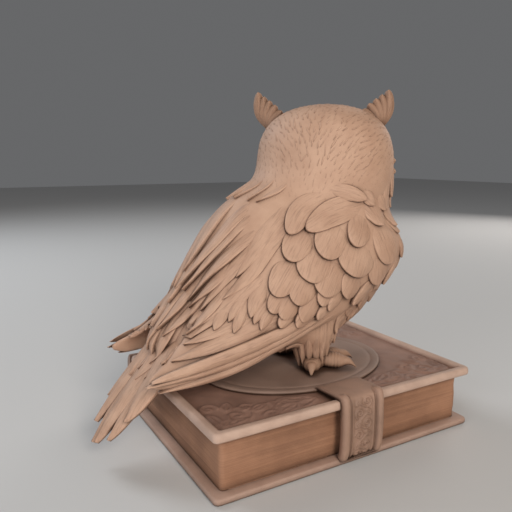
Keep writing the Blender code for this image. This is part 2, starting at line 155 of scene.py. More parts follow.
def swollen_union():
    """One mesh over the owl's body pieces, as evenly spaced squares."""
    points = []
    faces = []
    for node in SKIN_NODES:
        piece = welded(node)
        start = len(points)
        points += [vertex.co + SKIN_GROWTH * MM * vertex.normal for vertex in piece.vertices]
        faces += [[start + index for index in polygon.vertices] for polygon in piece.polygons]
    mesh = bpy.data.meshes.new("union")
    mesh.from_pydata(points, [], faces)
    item = bpy.data.objects.new("union", mesh)
    bpy.context.collection.objects.link(item)
    remesh = item.modifiers.new("remesh", "REMESH")
    remesh.mode = "VOXEL"
    remesh.voxel_size = SKIN_VOXEL * MM
    graph = bpy.context.evaluated_depsgraph_get()
    result = bpy.data.meshes.new_from_object(item.evaluated_get(graph))
    bpy.data.objects.remove(item, do_unlink=True)
    return result


def mesh_arrays(mesh):
    """Points in millimetres and square faces of a mesh, as arrays."""
    points = np.empty(len(mesh.vertices) * 3)
    mesh.vertices.foreach_get("co", points)
    loops = np.empty(len(mesh.loops), int)
    mesh.loops.foreach_get("vertex_index", loops)
    return points.reshape(-1, 3) / MM, loops.reshape(-1, 4)


def edge_pairs(faces):
    pairs = np.concatenate([faces[:, [0, 1]], faces[:, [1, 2]], faces[:, [2, 3]], faces[:, [3, 0]]])
    return np.unique(np.sort(pairs, axis=1), axis=0)


def outer_part(points, faces):
    """The faces joined to the highest point, which leaves out pockets inside the body."""
    pairs = edge_pairs(faces)
    label = np.arange(len(points))
    while True:
        low = np.minimum(label[pairs[:, 0]], label[pairs[:, 1]])
        renewed = label.copy()
        np.minimum.at(renewed, pairs[:, 0], low)
        np.minimum.at(renewed, pairs[:, 1], low)
        renewed = renewed[renewed]
        if (renewed == label).all():
            break
        label = renewed
    keep = label == label[points[:, 2].argmax()]
    renumber = np.cumsum(keep) - 1
    return points[keep], renumber[faces[keep[faces[:, 0]]]]


def relax(points, faces, rounds, share=None):
    """Evens out the surface; share gives each point's part of the move, from 0 to 1."""
    pairs = edge_pairs(faces)
    count = np.bincount(pairs.ravel(), minlength=len(points))[:, None]
    share = np.ones(len(points)) if share is None else share
    for _ in range(rounds):
        total = np.zeros_like(points)
        for axis in range(3):
            total[:, axis] = (np.bincount(pairs[:, 0], points[pairs[:, 1], axis], len(points))
                              + np.bincount(pairs[:, 1], points[pairs[:, 0], axis], len(points)))
        points = points + 0.5 * share[:, None] * (total / count - points)
    return points


def smoothstep(low, high, value):
    """0 at low, 1 at high, with a soft start and end; low may be the greater one."""
    t = np.clip((value - low) / (high - low), 0.0, 1.0)
    return t * t * (3 - 2 * t)


NECK_HEIGHTS = (104, 124, 150, 168)           # where the neck's smoothing starts, is full, and ends
TAIL_HEART = np.array([0.0, 100.0, 44.0])     # the skin's tail ends here, inside the tail feathers


def owl_skin():
    """The whole bird as one smooth skin, its neck faired into head and shoulders."""
    points, faces = mesh_arrays(swollen_union())
    points, faces = outer_part(points, faces)
    points = relax(points, faces, 12)
    low, full_low, full_high, high = NECK_HEIGHTS
    neck = smoothstep(low, full_low, points[:, 2]) * (1 - smoothstep(full_high, high, points[:, 2]))
    points = relax(points, faces, 220, neck)
    points = relax(points, faces, 25)
    tail_end = smoothstep(46, 36, points[:, 2]) * (points[:, 1] > 90) * (np.abs(points[:, 0]) < 24)
    points = points + 0.75 * tail_end[:, None] * (TAIL_HEART - points)
    return points, faces


class Skin:
    """Lookups on the smooth skin: the nearest place, or the first one met from a side. Millimetres."""

    def __init__(self, points, faces):
        self.tree = BVHTree.FromPolygons(points.tolist(), faces.tolist())

    def nearest(self, point):
        place, normal, _, _ = self.tree.find_nearest(Vector(point))
        return place, normal

    def along(self, start, direction, spare):
        place = self.tree.ray_cast(Vector(start), Vector(direction))[0]
        return place if place is not None else self.nearest(spare)[0]

    def from_side(self, side, y, z):
        return self.along((side * 150, y, z), (-side, 0, 0), (side * 36, y, z))

    def from_back(self, x, z):
        return self.along((x, 220, z), (0, -1, 0), (x, 60, z))

    def from_front(self, x, z):
        return self.along((x, -220, z), (0, 1, 0), (x, -60, z))

    def from_below(self, x, y):
        return self.along((x, y, -60), (0, 0, 1), (x, y, 60))

    def from_face(self, left, z):
        return self.along(head_point(110, left, z), -FACE, head_point(38, left, z))


# ---------------------------------------------------------------- carved feathers


class Carving:
    """Gathers closed shells into one mesh with two attributes for the materials.

    'grain' holds a feather's millimetres across and along, and a number of its own. The other one is a
    painted highlight, from 0 to 1: it is 1 on a feather's edges and tip and on the front board's rim.
    """

    def __init__(self):
        self.points = []
        self.faces = []
        self.grain = []
        self.painted_highlight = []
        self.count = 0

    def add(self, points, faces, grain, painted_highlight):
        self.points.append(points)
        self.faces.append(faces + self.count)
        self.grain.append(grain)
        self.painted_highlight.append(painted_highlight)
        self.count += len(points)

    def piece(self, name, material, slot="owl_resin"):
        faces = np.concatenate(self.faces)
        item = mesh_piece(name, np.concatenate(self.points), faces, material, slot)
        grain = item.data.attributes.new("grain", "FLOAT_VECTOR", "POINT")
        grain.data.foreach_set("vector", np.concatenate(self.grain).ravel())
        painted_highlight = item.data.attributes.new("painted_highlight", "FLOAT", "POINT")
        painted_highlight.data.foreach_set("value", np.concatenate(self.painted_highlight))
        return item


def carved(points, faces, painted_highlight=0.0):
    """A carving of one solid, with its own points as its grain."""
    carving = Carving()
    carving.add(points, faces, points, np.zeros(len(points)) + painted_highlight)
    return carving


def mesh_piece(name, points, faces, material, slot="owl_resin"):
    """A smooth-shaded piece from points in millimetres, riding on the figurine."""
    mesh = bpy.data.meshes.new(name)
    mesh.from_pydata((np.asarray(points) * MM).tolist(), [], np.asarray(faces).tolist())
    mesh.shade_smooth()
    mesh.materials.append(material)
    item = bpy.data.objects.new(name, mesh)
    bpy.context.collection.objects.link(item)
    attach(item, "root")
    return item


def ring_faces(rows, ring):
    """Squares of a closed tube of rows times ring points, its two ends closed with squares as well."""
    row = np.arange(rows - 1)[:, None] * ring
    here = np.arange(ring)[None, :]
    there = (here + 1) % ring
    corners = [row + here, row + there, row + ring + there, row + ring + here]
    sides = np.stack(corners, axis=-1).reshape(-1, 4)
    caps = []
    last = (rows - 1) * ring
    for low in range(1, (ring - 1) // 2 + 1):
        high = ring - low
        if high <= low:
            continue
        beyond = (high + 1) % ring
        caps.append((low - 1, beyond, high, low))
        caps.append((last + low - 1, last + low, last + high, last + beyond))
    return np.concatenate([sides, np.array(caps)])


def spaced(points, fractions):
    """Places at the given fractions along a smooth curve through the points."""
    points = np.asarray(points, float)
    if len(points) == 2:
        return points[0] + np.asarray(fractions)[:, None] * (points[1] - points[0])
    ends = np.vstack([2 * points[0] - points[1], points, 2 * points[-1] - points[-2]])
    fine = []
    for k in range(len(points) - 1):
        a, b, c, d = ends[k:k + 4]
        t = np.linspace(0, 1, 12, endpoint=False)[:, None]
        fine.append(0.5 * (2 * b + (c - a) * t + (2 * a - 5 * b + 4 * c - d) * t**2
                           + (3 * b - a - 3 * c + d) * t**3))
    fine = np.vstack(fine + [points[-1:]])
    run = np.concatenate([[0], np.cumsum(np.linalg.norm(np.diff(fine, axis=0), axis=1))])
    wanted = np.asarray(fractions) * run[-1]
    return np.stack([np.interp(wanted, run, fine[:, axis]) for axis in range(fine.shape[1])], axis=1)


class Cut:
    """How one kind of feather is carved: what it doesn't name is as here. Lengths in millimetres."""

    sink = 0.9          # how deep its root lies under the skin
    lift = 1.8          # how high its tip stands
    body = 1.6          # its thickness
    ridge = 0.15        # height of its shaft
    comb = 0.12         # depth of the combed barbs
    tip = (3.5, 2.0)    # how late it narrows, and how blunt it ends
    root = 0.6          # width at the root as a share of the full width
    steps = 16          # points along it
    columns = 11        # points across it
    crown = 0.5         # arch across it
    tilt = 0.0          # how far one edge stands above the other
    quick = 0.85        # below 1 it rises early

    def __init__(self, **own):
        vars(self).update(own)


def outline_share(t, cut):
    """Share of the full width at fraction t of the way from root to tip."""
    swell = cut.root + (1 - cut.root) * smoothstep(0.0, 0.55, t)
    sharp, blunt = cut.tip
    return swell * np.maximum(1 - t**sharp, 0.0) ** (1 / blunt)


def combing(rows, columns, rng):
    """Barb relief, from -1 to 1, over rows along the feather and columns across it."""
    coarse = rng.uniform(-1, 1, (4, columns))
    spread = np.linspace(0, 3, rows)
    low = np.minimum(spread.astype(int), 2)
    part = (spread - low)[:, None]
    return coarse[low] * (1 - part) + coarse[low + 1] * part


def across_shares(columns):
    """Places across a feather from -1 to 1, closer together toward its edges."""
    return np.sin(np.linspace(-0.5, 0.5, columns) * math.pi)


def face_relief(cut, s, rng):
    """Height of a feather's upper face from its arch, shaft and combed barbs."""
    relief = combing(cut.steps, cut.columns, rng)
    shaft = cut.ridge * np.exp(-(s[None, :] / 0.12) ** 2)
    return cut.crown * (1 - s[None, :] ** 2), shaft, cut.comb * relief * (1 - s[None, :] ** 6)


def feather_marks(half, ring_shares, t, length, rng):
    """A feather's grain values and painted highlight values, row by row around its ring of points."""
    ring = len(ring_shares)
    grain = np.stack([np.outer(half, ring_shares), np.repeat((t * length)[:, None], ring, 1),
                      np.full((len(t), ring), rng.uniform(0, 90))], axis=-1).reshape(-1, 3)
    painted_highlight = np.maximum(np.abs(ring_shares)[None, :] ** 8, t[:, None] ** 14).ravel()
    return grain, painted_highlight


def path_length(centre):
    return np.linalg.norm(np.diff(centre, axis=0), axis=1).sum()


def lay_feather(carving, skin, path, width, cut, rng, hand=1):
    """Carves one feather along path, from its root to its tip, close over the skin.

    hand is -1 to turn its tilt the other way, as on the owl's other side.
    """
    t = 1 - (1 - np.linspace(0, 1, cut.steps)) ** 1.5
    centre = spaced(path, t)
    ahead = np.gradient(centre, axis=0)
    half = 0.5 * width * np.maximum(outline_share(t, cut), 0.04)
    s = across_shares(cut.columns)
    arch, shaft, barbs = face_relief(cut, s, rng)
    rise = -cut.sink + (cut.sink + cut.lift) * t**cut.quick
    lean = hand * cut.tilt * s[None, :] * smoothstep(0.0, 0.4, t)[:, None]
    rounded = 0.35 * np.abs(s[None, :]) ** 6
    top = rise[:, None] + arch - rounded + shaft * (t[:, None] > 0.05) + barbs + lean
    top[-1] -= 0.3
    under = (cut.columns - 1, cut.columns // 2, 0)
    rows = []
    for k in range(cut.steps):
        place, normal = skin.nearest(centre[k])
        side = normal.cross(Vector(ahead[k])).normalized()
        spots = [skin.nearest(place + side * (share * half[k])) for share in s]
        rows += [spot + out * height for (spot, out), height in zip(spots, top[k])]
        rows += [spots[j][0] + spots[j][1] * (top[k, j] - cut.body) for j in under]
    marks = feather_marks(half, np.concatenate([s, s[list(under)]]), t, path_length(centre), rng)
    carving.add(np.array(rows), ring_faces(cut.steps, cut.columns + 3), *marks)


def free_feather(carving, path, facing, width, cut, rng, bend=0.0):
    """Carves one feather that stands free of the skin, its upper face turned to facing."""
    t = 1 - (1 - np.linspace(0, 1, cut.steps)) ** 1.4
    centre = spaced(path, t)
    ahead = np.gradient(centre, axis=0)
    ahead /= np.linalg.norm(ahead, axis=1)[:, None]
    out = np.asarray(facing, float) - ahead * (ahead @ np.asarray(facing, float))[:, None]
    out /= np.linalg.norm(out, axis=1)[:, None]
    side = np.cross(out, ahead)
    half = 0.5 * width * np.maximum(outline_share(t, cut), 0.04)
    s = across_shares(cut.columns)
    arch, shaft, barbs = face_relief(cut, s, rng)
    height = arch + shaft + barbs - bend * s[None, :] ** 2
    thick = cut.body * (1 - 0.75 * t[:, None] ** 3)
    across = side[:, None, :] * (half[:, None] * s[None, :])[:, :, None]
    upper = centre[:, None, :] + across + out[:, None, :] * height[:, :, None]
    under = [cut.columns - 1, cut.columns // 2, 0]
    lower = upper[:, under] - out[:, None, :] * thick[:, :, None]
    points = np.concatenate([upper, lower], axis=1).reshape(-1, 3)
    marks = feather_marks(half, np.concatenate([s, s[under]]), t, path_length(centre), rng)
    carving.add(points, ring_faces(cut.steps, cut.columns + 3), *marks)


# ---------------------------------------------------------------- the owl's plumage

# Rounded wing coverts: root, middle and tip as (back, up) places, then width.
COVERTS = (
    (((15, 124), (23, 115), (29, 107)), 17),
    (((-4, 126), (4, 117), (11, 108)), 21),
    (((-19, 130), (-14, 121), (-8, 113)), 16),
    (((-30, 127), (-33, 114), (-38, 101)), 21),
    (((24, 109), (33, 98), (39, 90)), 17),
    (((9, 114), (16, 104), (20, 96)), 23),
    (((-16, 115), (-11, 106), (-7, 97)), 30),
    (((-28, 107), (-30, 98), (-30, 89)), 20),
    (((16, 101), (24, 92), (28, 85)), 17),
    (((1, 106), (7, 97), (12, 88)), 23),
    (((-13, 100), (-8, 92), (-4, 85)), 18),
    (((-33, 93), (-22, 86), (-11, 80)), 11),
    (((32, 94), (38, 87), (42, 82)), 11),
    (((26, 91), (32, 84), (37, 79)), 13),
    (((12, 90), (20, 82), (25, 76)), 14),
    (((5, 94), (10, 88), (13, 83)), 12),
    (((-5, 91), (2, 85), (8, 80)), 10),
    (((27, 84), (33, 79), (38, 74.5)), 9),
    (((14, 84), (22, 78), (28, 73.5)), 11),
    (((2, 86), (9, 80), (15, 76)), 9),
)
COVERT = Cut(sink=1.0, lift=2.5, body=2.8, ridge=0.1, comb=0.14, tip=(3.4, 1.9), root=0.62)

# Narrow pointed coverts where the rows run out above the flight feathers.
SLIPS = (
    (((41, 97), (48, 88), (52, 80)), 10),
    (((40, 89), (47, 83), (51, 77)), 7.5),
    (((37, 86), (44, 80), (48, 74)), 8.5),
    (((51, 91), (56, 82), (61, 73)), 8.5),
    (((50, 93), (57, 85), (62, 78)), 7),
    (((57, 92), (63, 83), (69, 74)), 10),
)
SLIP = Cut(sink=0.9, lift=1.9, body=2.4, ridge=0.1, comb=0.16, tip=(2.4, 1.4), root=0.6)

# Big feathers at the shoulder, and small petals in front of them, given the same way.
SHOULDER = (
    (((0, 141), (16, 132), (26, 120)), 15),
    (((-24, 136), (-1, 131), (17, 122)), 16),
    (((2, 144), (-9, 141.5), (-20, 138)), 9),
)
PETALS = (
    (((-22, 138), (-28, 130), (-31, 122)), 16),
    (((-33, 140), (-35, 135), (-36, 130)), 10),
    (((-18, 141), (-22, 139), (-26, 134)), 8),
    (((-38, 136), (-43, 128), (-46, 120)), 13),
)
PETAL = Cut(sink=0.7, lift=2.2, body=2.4, ridge=0.2, comb=0.2, tip=(3.0, 1.8), root=0.5)

# Long smooth scapulars between the back and the coverts, then the flight feathers along the lower edge.
SCAPULARS = (
    (((20, 137), (38, 119), (54, 99)), 12),
    (((16, 131), (34, 118), (48, 101), (62, 88)), 12),
    (((32, 126), (48, 110), (60, 97), (71, 82)), 10),
    (((39, 110), (52, 96), (66, 83), (76, 74)), 11),
    (((39, 102), (55, 90), (67, 80), (79, 70)), 9),
    (((28, 84), (44, 78), (60, 72), (76, 66), (91, 60.5)), 12),
    (((44, 86), (58, 79), (71, 73), (83, 67)), 10),
)
SCAPULAR = Cut(sink=0.9, lift=1.1, body=2.2, ridge=0.0, comb=0.16, tip=(2.6, 1.2), root=0.7,
               steps=22, quick=0.6, tilt=0.4)

# Each flight feather: (back, up) places from root to tip, width, how far out it lies.
FLIGHT = (
    (((-26, 84), (0, 75), (20, 68.5), (36, 63.5), (59, 55), (80, 50.5), (100, 48)), 6.5, 0.4),
    (((-12, 82), (14, 73.5), (36, 66.5), (59, 59.8), (80, 55.3), (106, 52)), 6.4, 1.9),
    (((4, 80), (20, 75), (36, 70.5), (59, 64), (80, 58.8), (104, 54.5)), 7.4, 3.4),
)
# Outer face of the folded wing: distance back, distance from the middle.
WING_FACE = ((-40, 37), (-20, 39.5), (0, 40.5), (33, 42), (48, 41.3), (64, 39.6), (80, 37.2), (92, 35.3),
             (110, 32.3))
FLIGHT_CUT = Cut(body=3.2, ridge=0.0, comb=0.10, tip=(6.0, 1.5), root=0.8, steps=36, crown=0.9)


# Lance-shaped back feathers from root to tip: (out from the middle, up) places, then width.
MANTLE_MIDDLE = (
    (((-3, 141), (-3, 120), (0, 99)), 20),
    (((0, 112), (-1, 98), (1, 82)), 12),
    (((1, 92), (0, 76), (0, 60)), 11),
    (((0, 76), (0, 62), (0, 48)), 11),
)
NAPE_SIDES = (
    (((2, 152), (3, 145), (1, 138)), 7),
    (((11, 153), (10, 145), (11, 136)), 7.5),
    (((20, 151), (18, 143), (16, 136)), 8),
)
MANTLE_SIDES = (
    (((13, 137), (10, 120), (5, 105), (1, 89)), 13),
    (((18, 131), (14, 117), (10, 105), (6, 90)), 10),
    (((25, 124), (19, 109), (14, 98), (12, 86)), 11),
    (((24, 108), (20, 97), (14, 83)), 10),
    (((10, 96), (7, 83), (4, 69)), 10),
    (((18, 96), (14, 82), (8, 67)), 10),
    (((26, 97), (25, 83), (24, 70)), 10),
    (((9, 82), (8, 66), (6, 52)), 10),
    (((18, 84), (16, 70), (12, 55)), 10),
    (((26, 84), (24, 72), (20, 60)), 9),
    (((14, 70), (13, 58), (10, 46)), 9),
    (((6, 66), (6, 54), (4, 43)), 9),
)
MANTLE = Cut(sink=1.2, lift=1.6, body=3.8, ridge=0.0, comb=0.20, tip=(2.2, 1.0), root=0.7,
             steps=24, tilt=1.5, quick=0.6, crown=0.8)
NAPE = Cut(sink=1.2, lift=0.7, body=2.6, ridge=0.0, comb=0.12, tip=(2.2, 1.0), root=0.5,
           steps=20, tilt=1.1, quick=0.8, crown=0.4)


def wing_place(side, y, z, out):
    """A place the given distance outside the folded wing's outer face."""
    backs, halves = zip(*WING_FACE)
    return Vector((side * (np.interp(y, backs, halves) + out), y, z))


def wing_plumage(skin, side, rng):
    carving = Carving()
    shares = np.linspace(0, 1, 14)
    for path, width, out in FLIGHT:
        rises = out - 1.0 - 2.0 * (1 - smoothstep(0.0, 0.3, shares))
        places = [wing_place(side, *place, rise) for place, rise in zip(spaced(path, shares), rises)]
        free_feather(carving, places, (side, 0.1, -0.15), width, FLIGHT_CUT, rng, bend=0.7)
    for table, cut in ((COVERTS, COVERT), (SLIPS, SLIP), (SCAPULARS, SCAPULAR), (SHOULDER, COVERT),
                       (PETALS, PETAL)):
        for path, width in table:
            places = spaced(path, np.linspace(0, 1, 7))
            path = [skin.from_side(side, *place) for place in places]
            lay_feather(carving, skin, path, width, cut, rng)
    return carving


def mantle_plumage(skin, rng):
    carving = Carving()
    for side, table, cut in ((-1, MANTLE_MIDDLE, MANTLE), (-1, MANTLE_SIDES, MANTLE),
                             (1, MANTLE_SIDES, MANTLE), (-1, NAPE_SIDES, NAPE), (1, NAPE_SIDES, NAPE)):
        for path, width in table:
            places = spaced(path, np.linspace(0, 1, 8)) + (rng.uniform(-0.5, 0.5), rng.uniform(-0.8, 0.8))
            path = [skin.from_back(side * out, up) for out, up in places]
            lay_feather(carving, skin, path, width, cut, rng, hand=-side)
    return carving


TAIL_FEATHERS = 6
# The tail's upper face down its middle, back and up, and how far out the outermost feather lies there.
TAIL_LINE = ((62, 79, 9), (84, 64.5, 13), (96, 51, 16), (107.5, 37.5, 17.5), (118, 24, 18),
             (125, 13, 16.5))
TAIL_CUT = Cut(body=3.4, ridge=0.3, comb=0.14, tip=(6.5, 1.15), root=0.8, steps=28, crown=1.2)


def tail_plumage(rng):
    """Long feathers in a shallow fan, the middle ones longest and uppermost."""
    carving = Carving()
    for k in range(TAIL_FEATHERS):
        out = 2 * k / (TAIL_FEATHERS - 1) - 1
        reach = 1 - 0.24 * out**2 + rng.uniform(-0.015, 0.015)
        line = spaced(TAIL_LINE, np.linspace(0, reach, 8))
        drop = 1.4 * abs(out) + 1.6 * (k % 2)
        path = [(half * out, y - 0.7 * drop, z - 0.7 * drop) for y, z, half in line]
        free_feather(carving, path, (0.25 * out, 0.72, 0.70), 13.5, TAIL_CUT, rng, bend=0.5)
    return carving


# ---------------------------------------------------------------- head

HEAD_CENTRE = (0.0, -22.0)
HEAD_TURN = math.radians(50)      # the head looks over the owl's left shoulder
FACE = np.array([math.sin(HEAD_TURN), -math.cos(HEAD_TURN), 0.0])
FACE_LEFT = np.array([math.cos(HEAD_TURN), math.sin(HEAD_TURN), 0.0])


def head_point(forward, left, z):
    """A place in the turned head: forward of its middle, to its left, and height above the table."""
    flat = np.array([HEAD_CENTRE[0], HEAD_CENTRE[1], z])
    return flat + FACE * forward + FACE_LEFT * left


# Ribs of an ear tuft, outermost first: tip's place to the side and up, bow outward, width.
TUFT_RIBS = ((38.8, 199.3, 3.0, 7.2), (35.0, 196.6, 2.6, 7.2), (31.4, 194.2, 2.3, 7.4),
             (27.6, 191.4, 2.2, 7.6), (23.6, 187.8, 2.2, 7.8))
TUFT_SHIFT = 2.4          # both tufts lean this far to the owl's left
TUFT_BASE = (31.0, 176.5)
TUFT_CUT = Cut(body=4.2, ridge=0.0, comb=0.08, tip=(5.0, 2.2), root=0.7, steps=18, crown=1.9, columns=13)


def tuft_ribs(side, rng):
    carving = Carving()
    for k, (left, z, bow, width) in enumerate(TUFT_RIBS):
        forward = 1.6 - 1.0 * k
        base_left = side * (TUFT_BASE[0] - 0.9 * k) + 0.4 * TUFT_SHIFT
        middle_left = side * (0.5 * (TUFT_BASE[0] + left) + bow) + 0.8 * TUFT_SHIFT
        path = [head_point(forward, base_left, TUFT_BASE[1] - 0.8 * k),
                head_point(forward - 0.4, middle_left, 0.5 * (TUFT_BASE[1] + z) - 1),
                head_point(forward, side * left + TUFT_SHIFT, z)]
        free_feather(carving, path, -FACE, width, TUFT_CUT, rng, bend=0.3)
    return carving


LEAF_SPACING = 2.9
HEAD_HALF = 40            # half the head's width, for shares of it
NAPE_PARTING = 0.35       # where the head's leaves run together, as a share of its half width to the left


def head_leaf(lift):
    return Cut(sink=0.35, lift=lift, body=0.9, ridge=0.0, comb=0.0, tip=(1.7, 1.1), root=0.3, steps=7,
               columns=5, crown=0.16)


def thin_out(points, spacing, rng):
    """Picks points at least the given spacing apart, in a fixed random order."""
    order = rng.permutation(len(points))
    steps = [(i, j, k) for i in (-1, 0, 1) for j in (-1, 0, 1) for k in (-1, 0, 1)]
    taken = {}
    kept = []
    for index in order:
        x, y, z = (points[index] // spacing).astype(int)
        cells = [(x + i, y + j, z + k) for i, j, k in steps]
        near = [taken[cell] for cell in cells if cell in taken]
        if all(np.linalg.norm(points[index] - points[other]) >= spacing for other in near):
            taken[(x, y, z)] = index
            kept.append(index)
    return np.array(kept)


def leaf_flow(place, normal, rng):
    """The way a head leaf points: back over the crown, then down and in toward the nape's parting."""
    high = float(smoothstep(150, 186, place.z))
    sideways = float((np.array(place) - head_point(0, 0, 0)) @ FACE_LEFT) / HEAD_HALF
    flow = (-FACE * (0.5 + 0.9 * high) + np.array([0, 0, -1.15 + 0.6 * high])
            + FACE_LEFT * 1.0 * (NAPE_PARTING - sideways) + rng.normal(0, 0.24, 3))
    flow = Vector(flow)
    return (flow - normal * flow.dot(normal)).normalized()


def head_plumage(skin, points, rng):
    """Short leaves all over the head, swept back from the face and fading out down the neck."""
    carving = Carving()
    sideways = (points - head_point(0, 0, 0)) @ FACE_LEFT / HEAD_HALF
    low_edge = 143 - 4 * np.clip(sideways, -1, 1)
    ahead = (points - head_point(0, 0, 150)) @ FACE
    region = points[(points[:, 2] > low_edge) & (ahead < 31)]
    for point in region[thin_out(region, LEAF_SPACING, rng)]:
        place, normal = skin.nearest(point)
        flow = leaf_flow(place, normal, rng)
        length = rng.uniform(6.0, 11.5)
        fade = float(smoothstep(142, 168, place.z))
        cut = head_leaf(-0.03 + 0.23 * fade * rng.uniform(0.3, 1.1))
        path = [place - flow * 0.6 * length, place + flow * 0.4 * length]
        lay_feather(carving, skin, path, rng.uniform(1.8, 3.0), cut, rng)
    return carving


# ---------------------------------------------------------------- face

EYE_SIDE = 15.5
EYE_HEIGHT = 156.0
EYE_AHEAD = 29.5
EYE_RADIUS = 8.2
# Eye from its middle outward: distance from the axis and height, as shares of the radius.
EYE_PROFILE = ((0.0, 0.90), (0.18, 0.90), (0.24, 0.965), (0.30, 0.98), (0.50, 0.90), (0.55, 0.83),
               (0.60, 0.815), (0.75, 0.67), (0.88, 0.46), (0.97, 0.20), (1.0, 0.0), (0.9, -0.35))
# Eyelid ring around it, the same way.
LID_PROFILE = ((0.86, 0.40), (0.90, 0.60), (1.00, 0.66), (1.12, 0.58), (1.22, 0.36), (1.26, 0.05),
               (1.2, -0.3), (0.9, -0.3))
# Beak from its root to its tip: distance ahead, height, half width and depth.
BEAK_SECTIONS = ((33, 153.5, 5.0, 5.2), (37, 151.8, 5.0, 5.2), (39.5, 149.5, 4.5, 4.8),
                 (42.5, 146, 3.7, 3.9), (44.6, 142, 2.7, 2.9), (45.6, 138, 1.6, 1.8),
                 (45.2, 134.6, 0.7, 0.7), (44.9, 133.8, 0.2, 0.2))
DISC_CUT = Cut(sink=0.5, lift=0.9, body=1.4, ridge=0.12, comb=0.05, tip=(2.6, 1.5), root=0.45,
               steps=9, columns=7, crown=0.35)
RUFF_CUT = Cut(sink=0.7, lift=2.0, body=2.2, ridge=0.15, comb=0.1, tip=(3.2, 2.0), root=0.6,
               steps=10, columns=9)
BROW_CUT = Cut(sink=0.5, lift=1.6, body=3.0, ridge=0.1, comb=0.15, tip=(3.0, 1.6), root=0.5,
               steps=16, crown=1.2, quick=0.4)
BROW_LINE = ((2.5, 154), (8, 166.5), (20, 172), (30, 179))      # left of the face's middle, and height
# Rings of leaves around an eye: where they start and reach to, how many, and their width.
DISC_RINGS = ((15.5, 23.5, 26, 5.0), (9.0, 17.0, 22, 4.0))


def turned(profile, centre, axis, radius, segments=48):
    """Points and faces of a shape turned about axis through centre; profile rows are (out, up) shares."""
    axis = np.asarray(axis) / np.linalg.norm(axis)
    right = np.cross(axis, (0, 0, 1))
    right /= np.linalg.norm(right)
    up = np.cross(right, axis)
    turn = np.linspace(0, 2 * math.pi, segments, endpoint=False)
    around = np.cos(turn)[:, None] * right + np.sin(turn)[:, None] * up
    rows = [np.asarray(centre) + radius * (max(out, 0.004) * around + rise * axis)
            for out, rise in profile]
    return np.concatenate(rows), ring_faces(len(rows), segments)


def plain_grain(points):
    """Grain values for a shape that isn't a feather: its own coordinates."""
    return np.array(points, float), np.zeros(len(points))


def eye_axis(side):
    return FACE + 0.28 * side * FACE_LEFT


def face_plumage(skin, rng):
    """Facial discs of fine leaves around each eye, a ruff around them, brows and bristles."""
    carving = Carving()
    for side in (1, -1):
        for ring, (start, reach, count, width) in enumerate(DISC_RINGS):
            for k in range(count):
                turn = 2 * math.pi * (k + 0.5 * ring) / count
                left = math.cos(turn)
                up = math.sin(turn)
                if left * reach < -14:
                    continue
                path = [skin.from_face(side * (EYE_SIDE + away * left), EYE_HEIGHT + 1.06 * away * up)
                        for away in (start, 0.5 * (start + reach), reach)]
                lay_feather(carving, skin, path, width, DISC_CUT, rng)
        for k in range(15):
            turn = math.radians(-88 + 12 * k)
            left = math.cos(turn)
            up = math.sin(turn)
            path = [skin.from_face(side * (EYE_SIDE - 3 + away * left), EYE_HEIGHT - 2 + 1.08 * away * up)
                    for away in (20, 24, 28)]
            lay_feather(carving, skin, path, 8, RUFF_CUT, rng)
        for lift, width in ((0.0, 8.0), (3.4, 7.0)):
            path = [skin.from_face(side * left, z + lift) for left, z in BROW_LINE]
            lay_feather(carving, skin, path, width, BROW_CUT, rng, hand=side)
        for k in range(7):
            spread = math.radians(200 + 24 * k)
            path = [skin.from_face(side * (3.5 + away * max(0.15, math.cos(spread) + 0.9)),
                                   151 + 0.9 * away * math.sin(spread)) for away in (1, 5, 9)]
            lay_feather(carving, skin, path, 3.2, DISC_CUT, rng)
    return carving


def beak_shape():
    rows = spaced(BEAK_SECTIONS, np.linspace(0, 1, 26))
    turn = np.linspace(0, 2 * math.pi, 28, endpoint=False)
    keel = 1 + 0.16 * np.maximum(np.sin(turn), 0) ** 6
    points = []
    for forward, z, wide, deep in rows:
        for angle, more in zip(turn, keel):
            ahead = forward + deep * 0.85 * math.sin(angle) * more
            height = z + deep * 0.45 * math.sin(angle) * more
            points.append(head_point(ahead, wide * math.cos(angle), height))
    return np.array(points), ring_faces(len(rows), len(turn))


# ---------------------------------------------------------------- breast, belly and legs

BREAST = Cut(sink=0.8, lift=1.5, body=2.0, ridge=0.2, comb=0.12, tip=(3.0, 1.7), root=0.55,
             steps=12, columns=9)
UNDERSIDE = Cut(sink=0.8, lift=1.2, body=1.8, ridge=0.2, comb=0.12, tip=(2.6, 1.4), root=0.6,
                steps=12, columns=9)
LEG_SIDE = 16.0
LEG_BACK = -4.0
TROUSER = Cut(body=2.2, ridge=0.35, comb=0.2, tip=(2.6, 1.2), root=0.8, steps=14, columns=9, crown=1.0)
# Layers of leg feathers: top and bottom height, distance from the leg's middle, and how many.
TROUSER_LAYERS = ((64, 36.5, 8.5, 13), (68, 42, 9.8, 14), (72, 49, 11.2, 15))


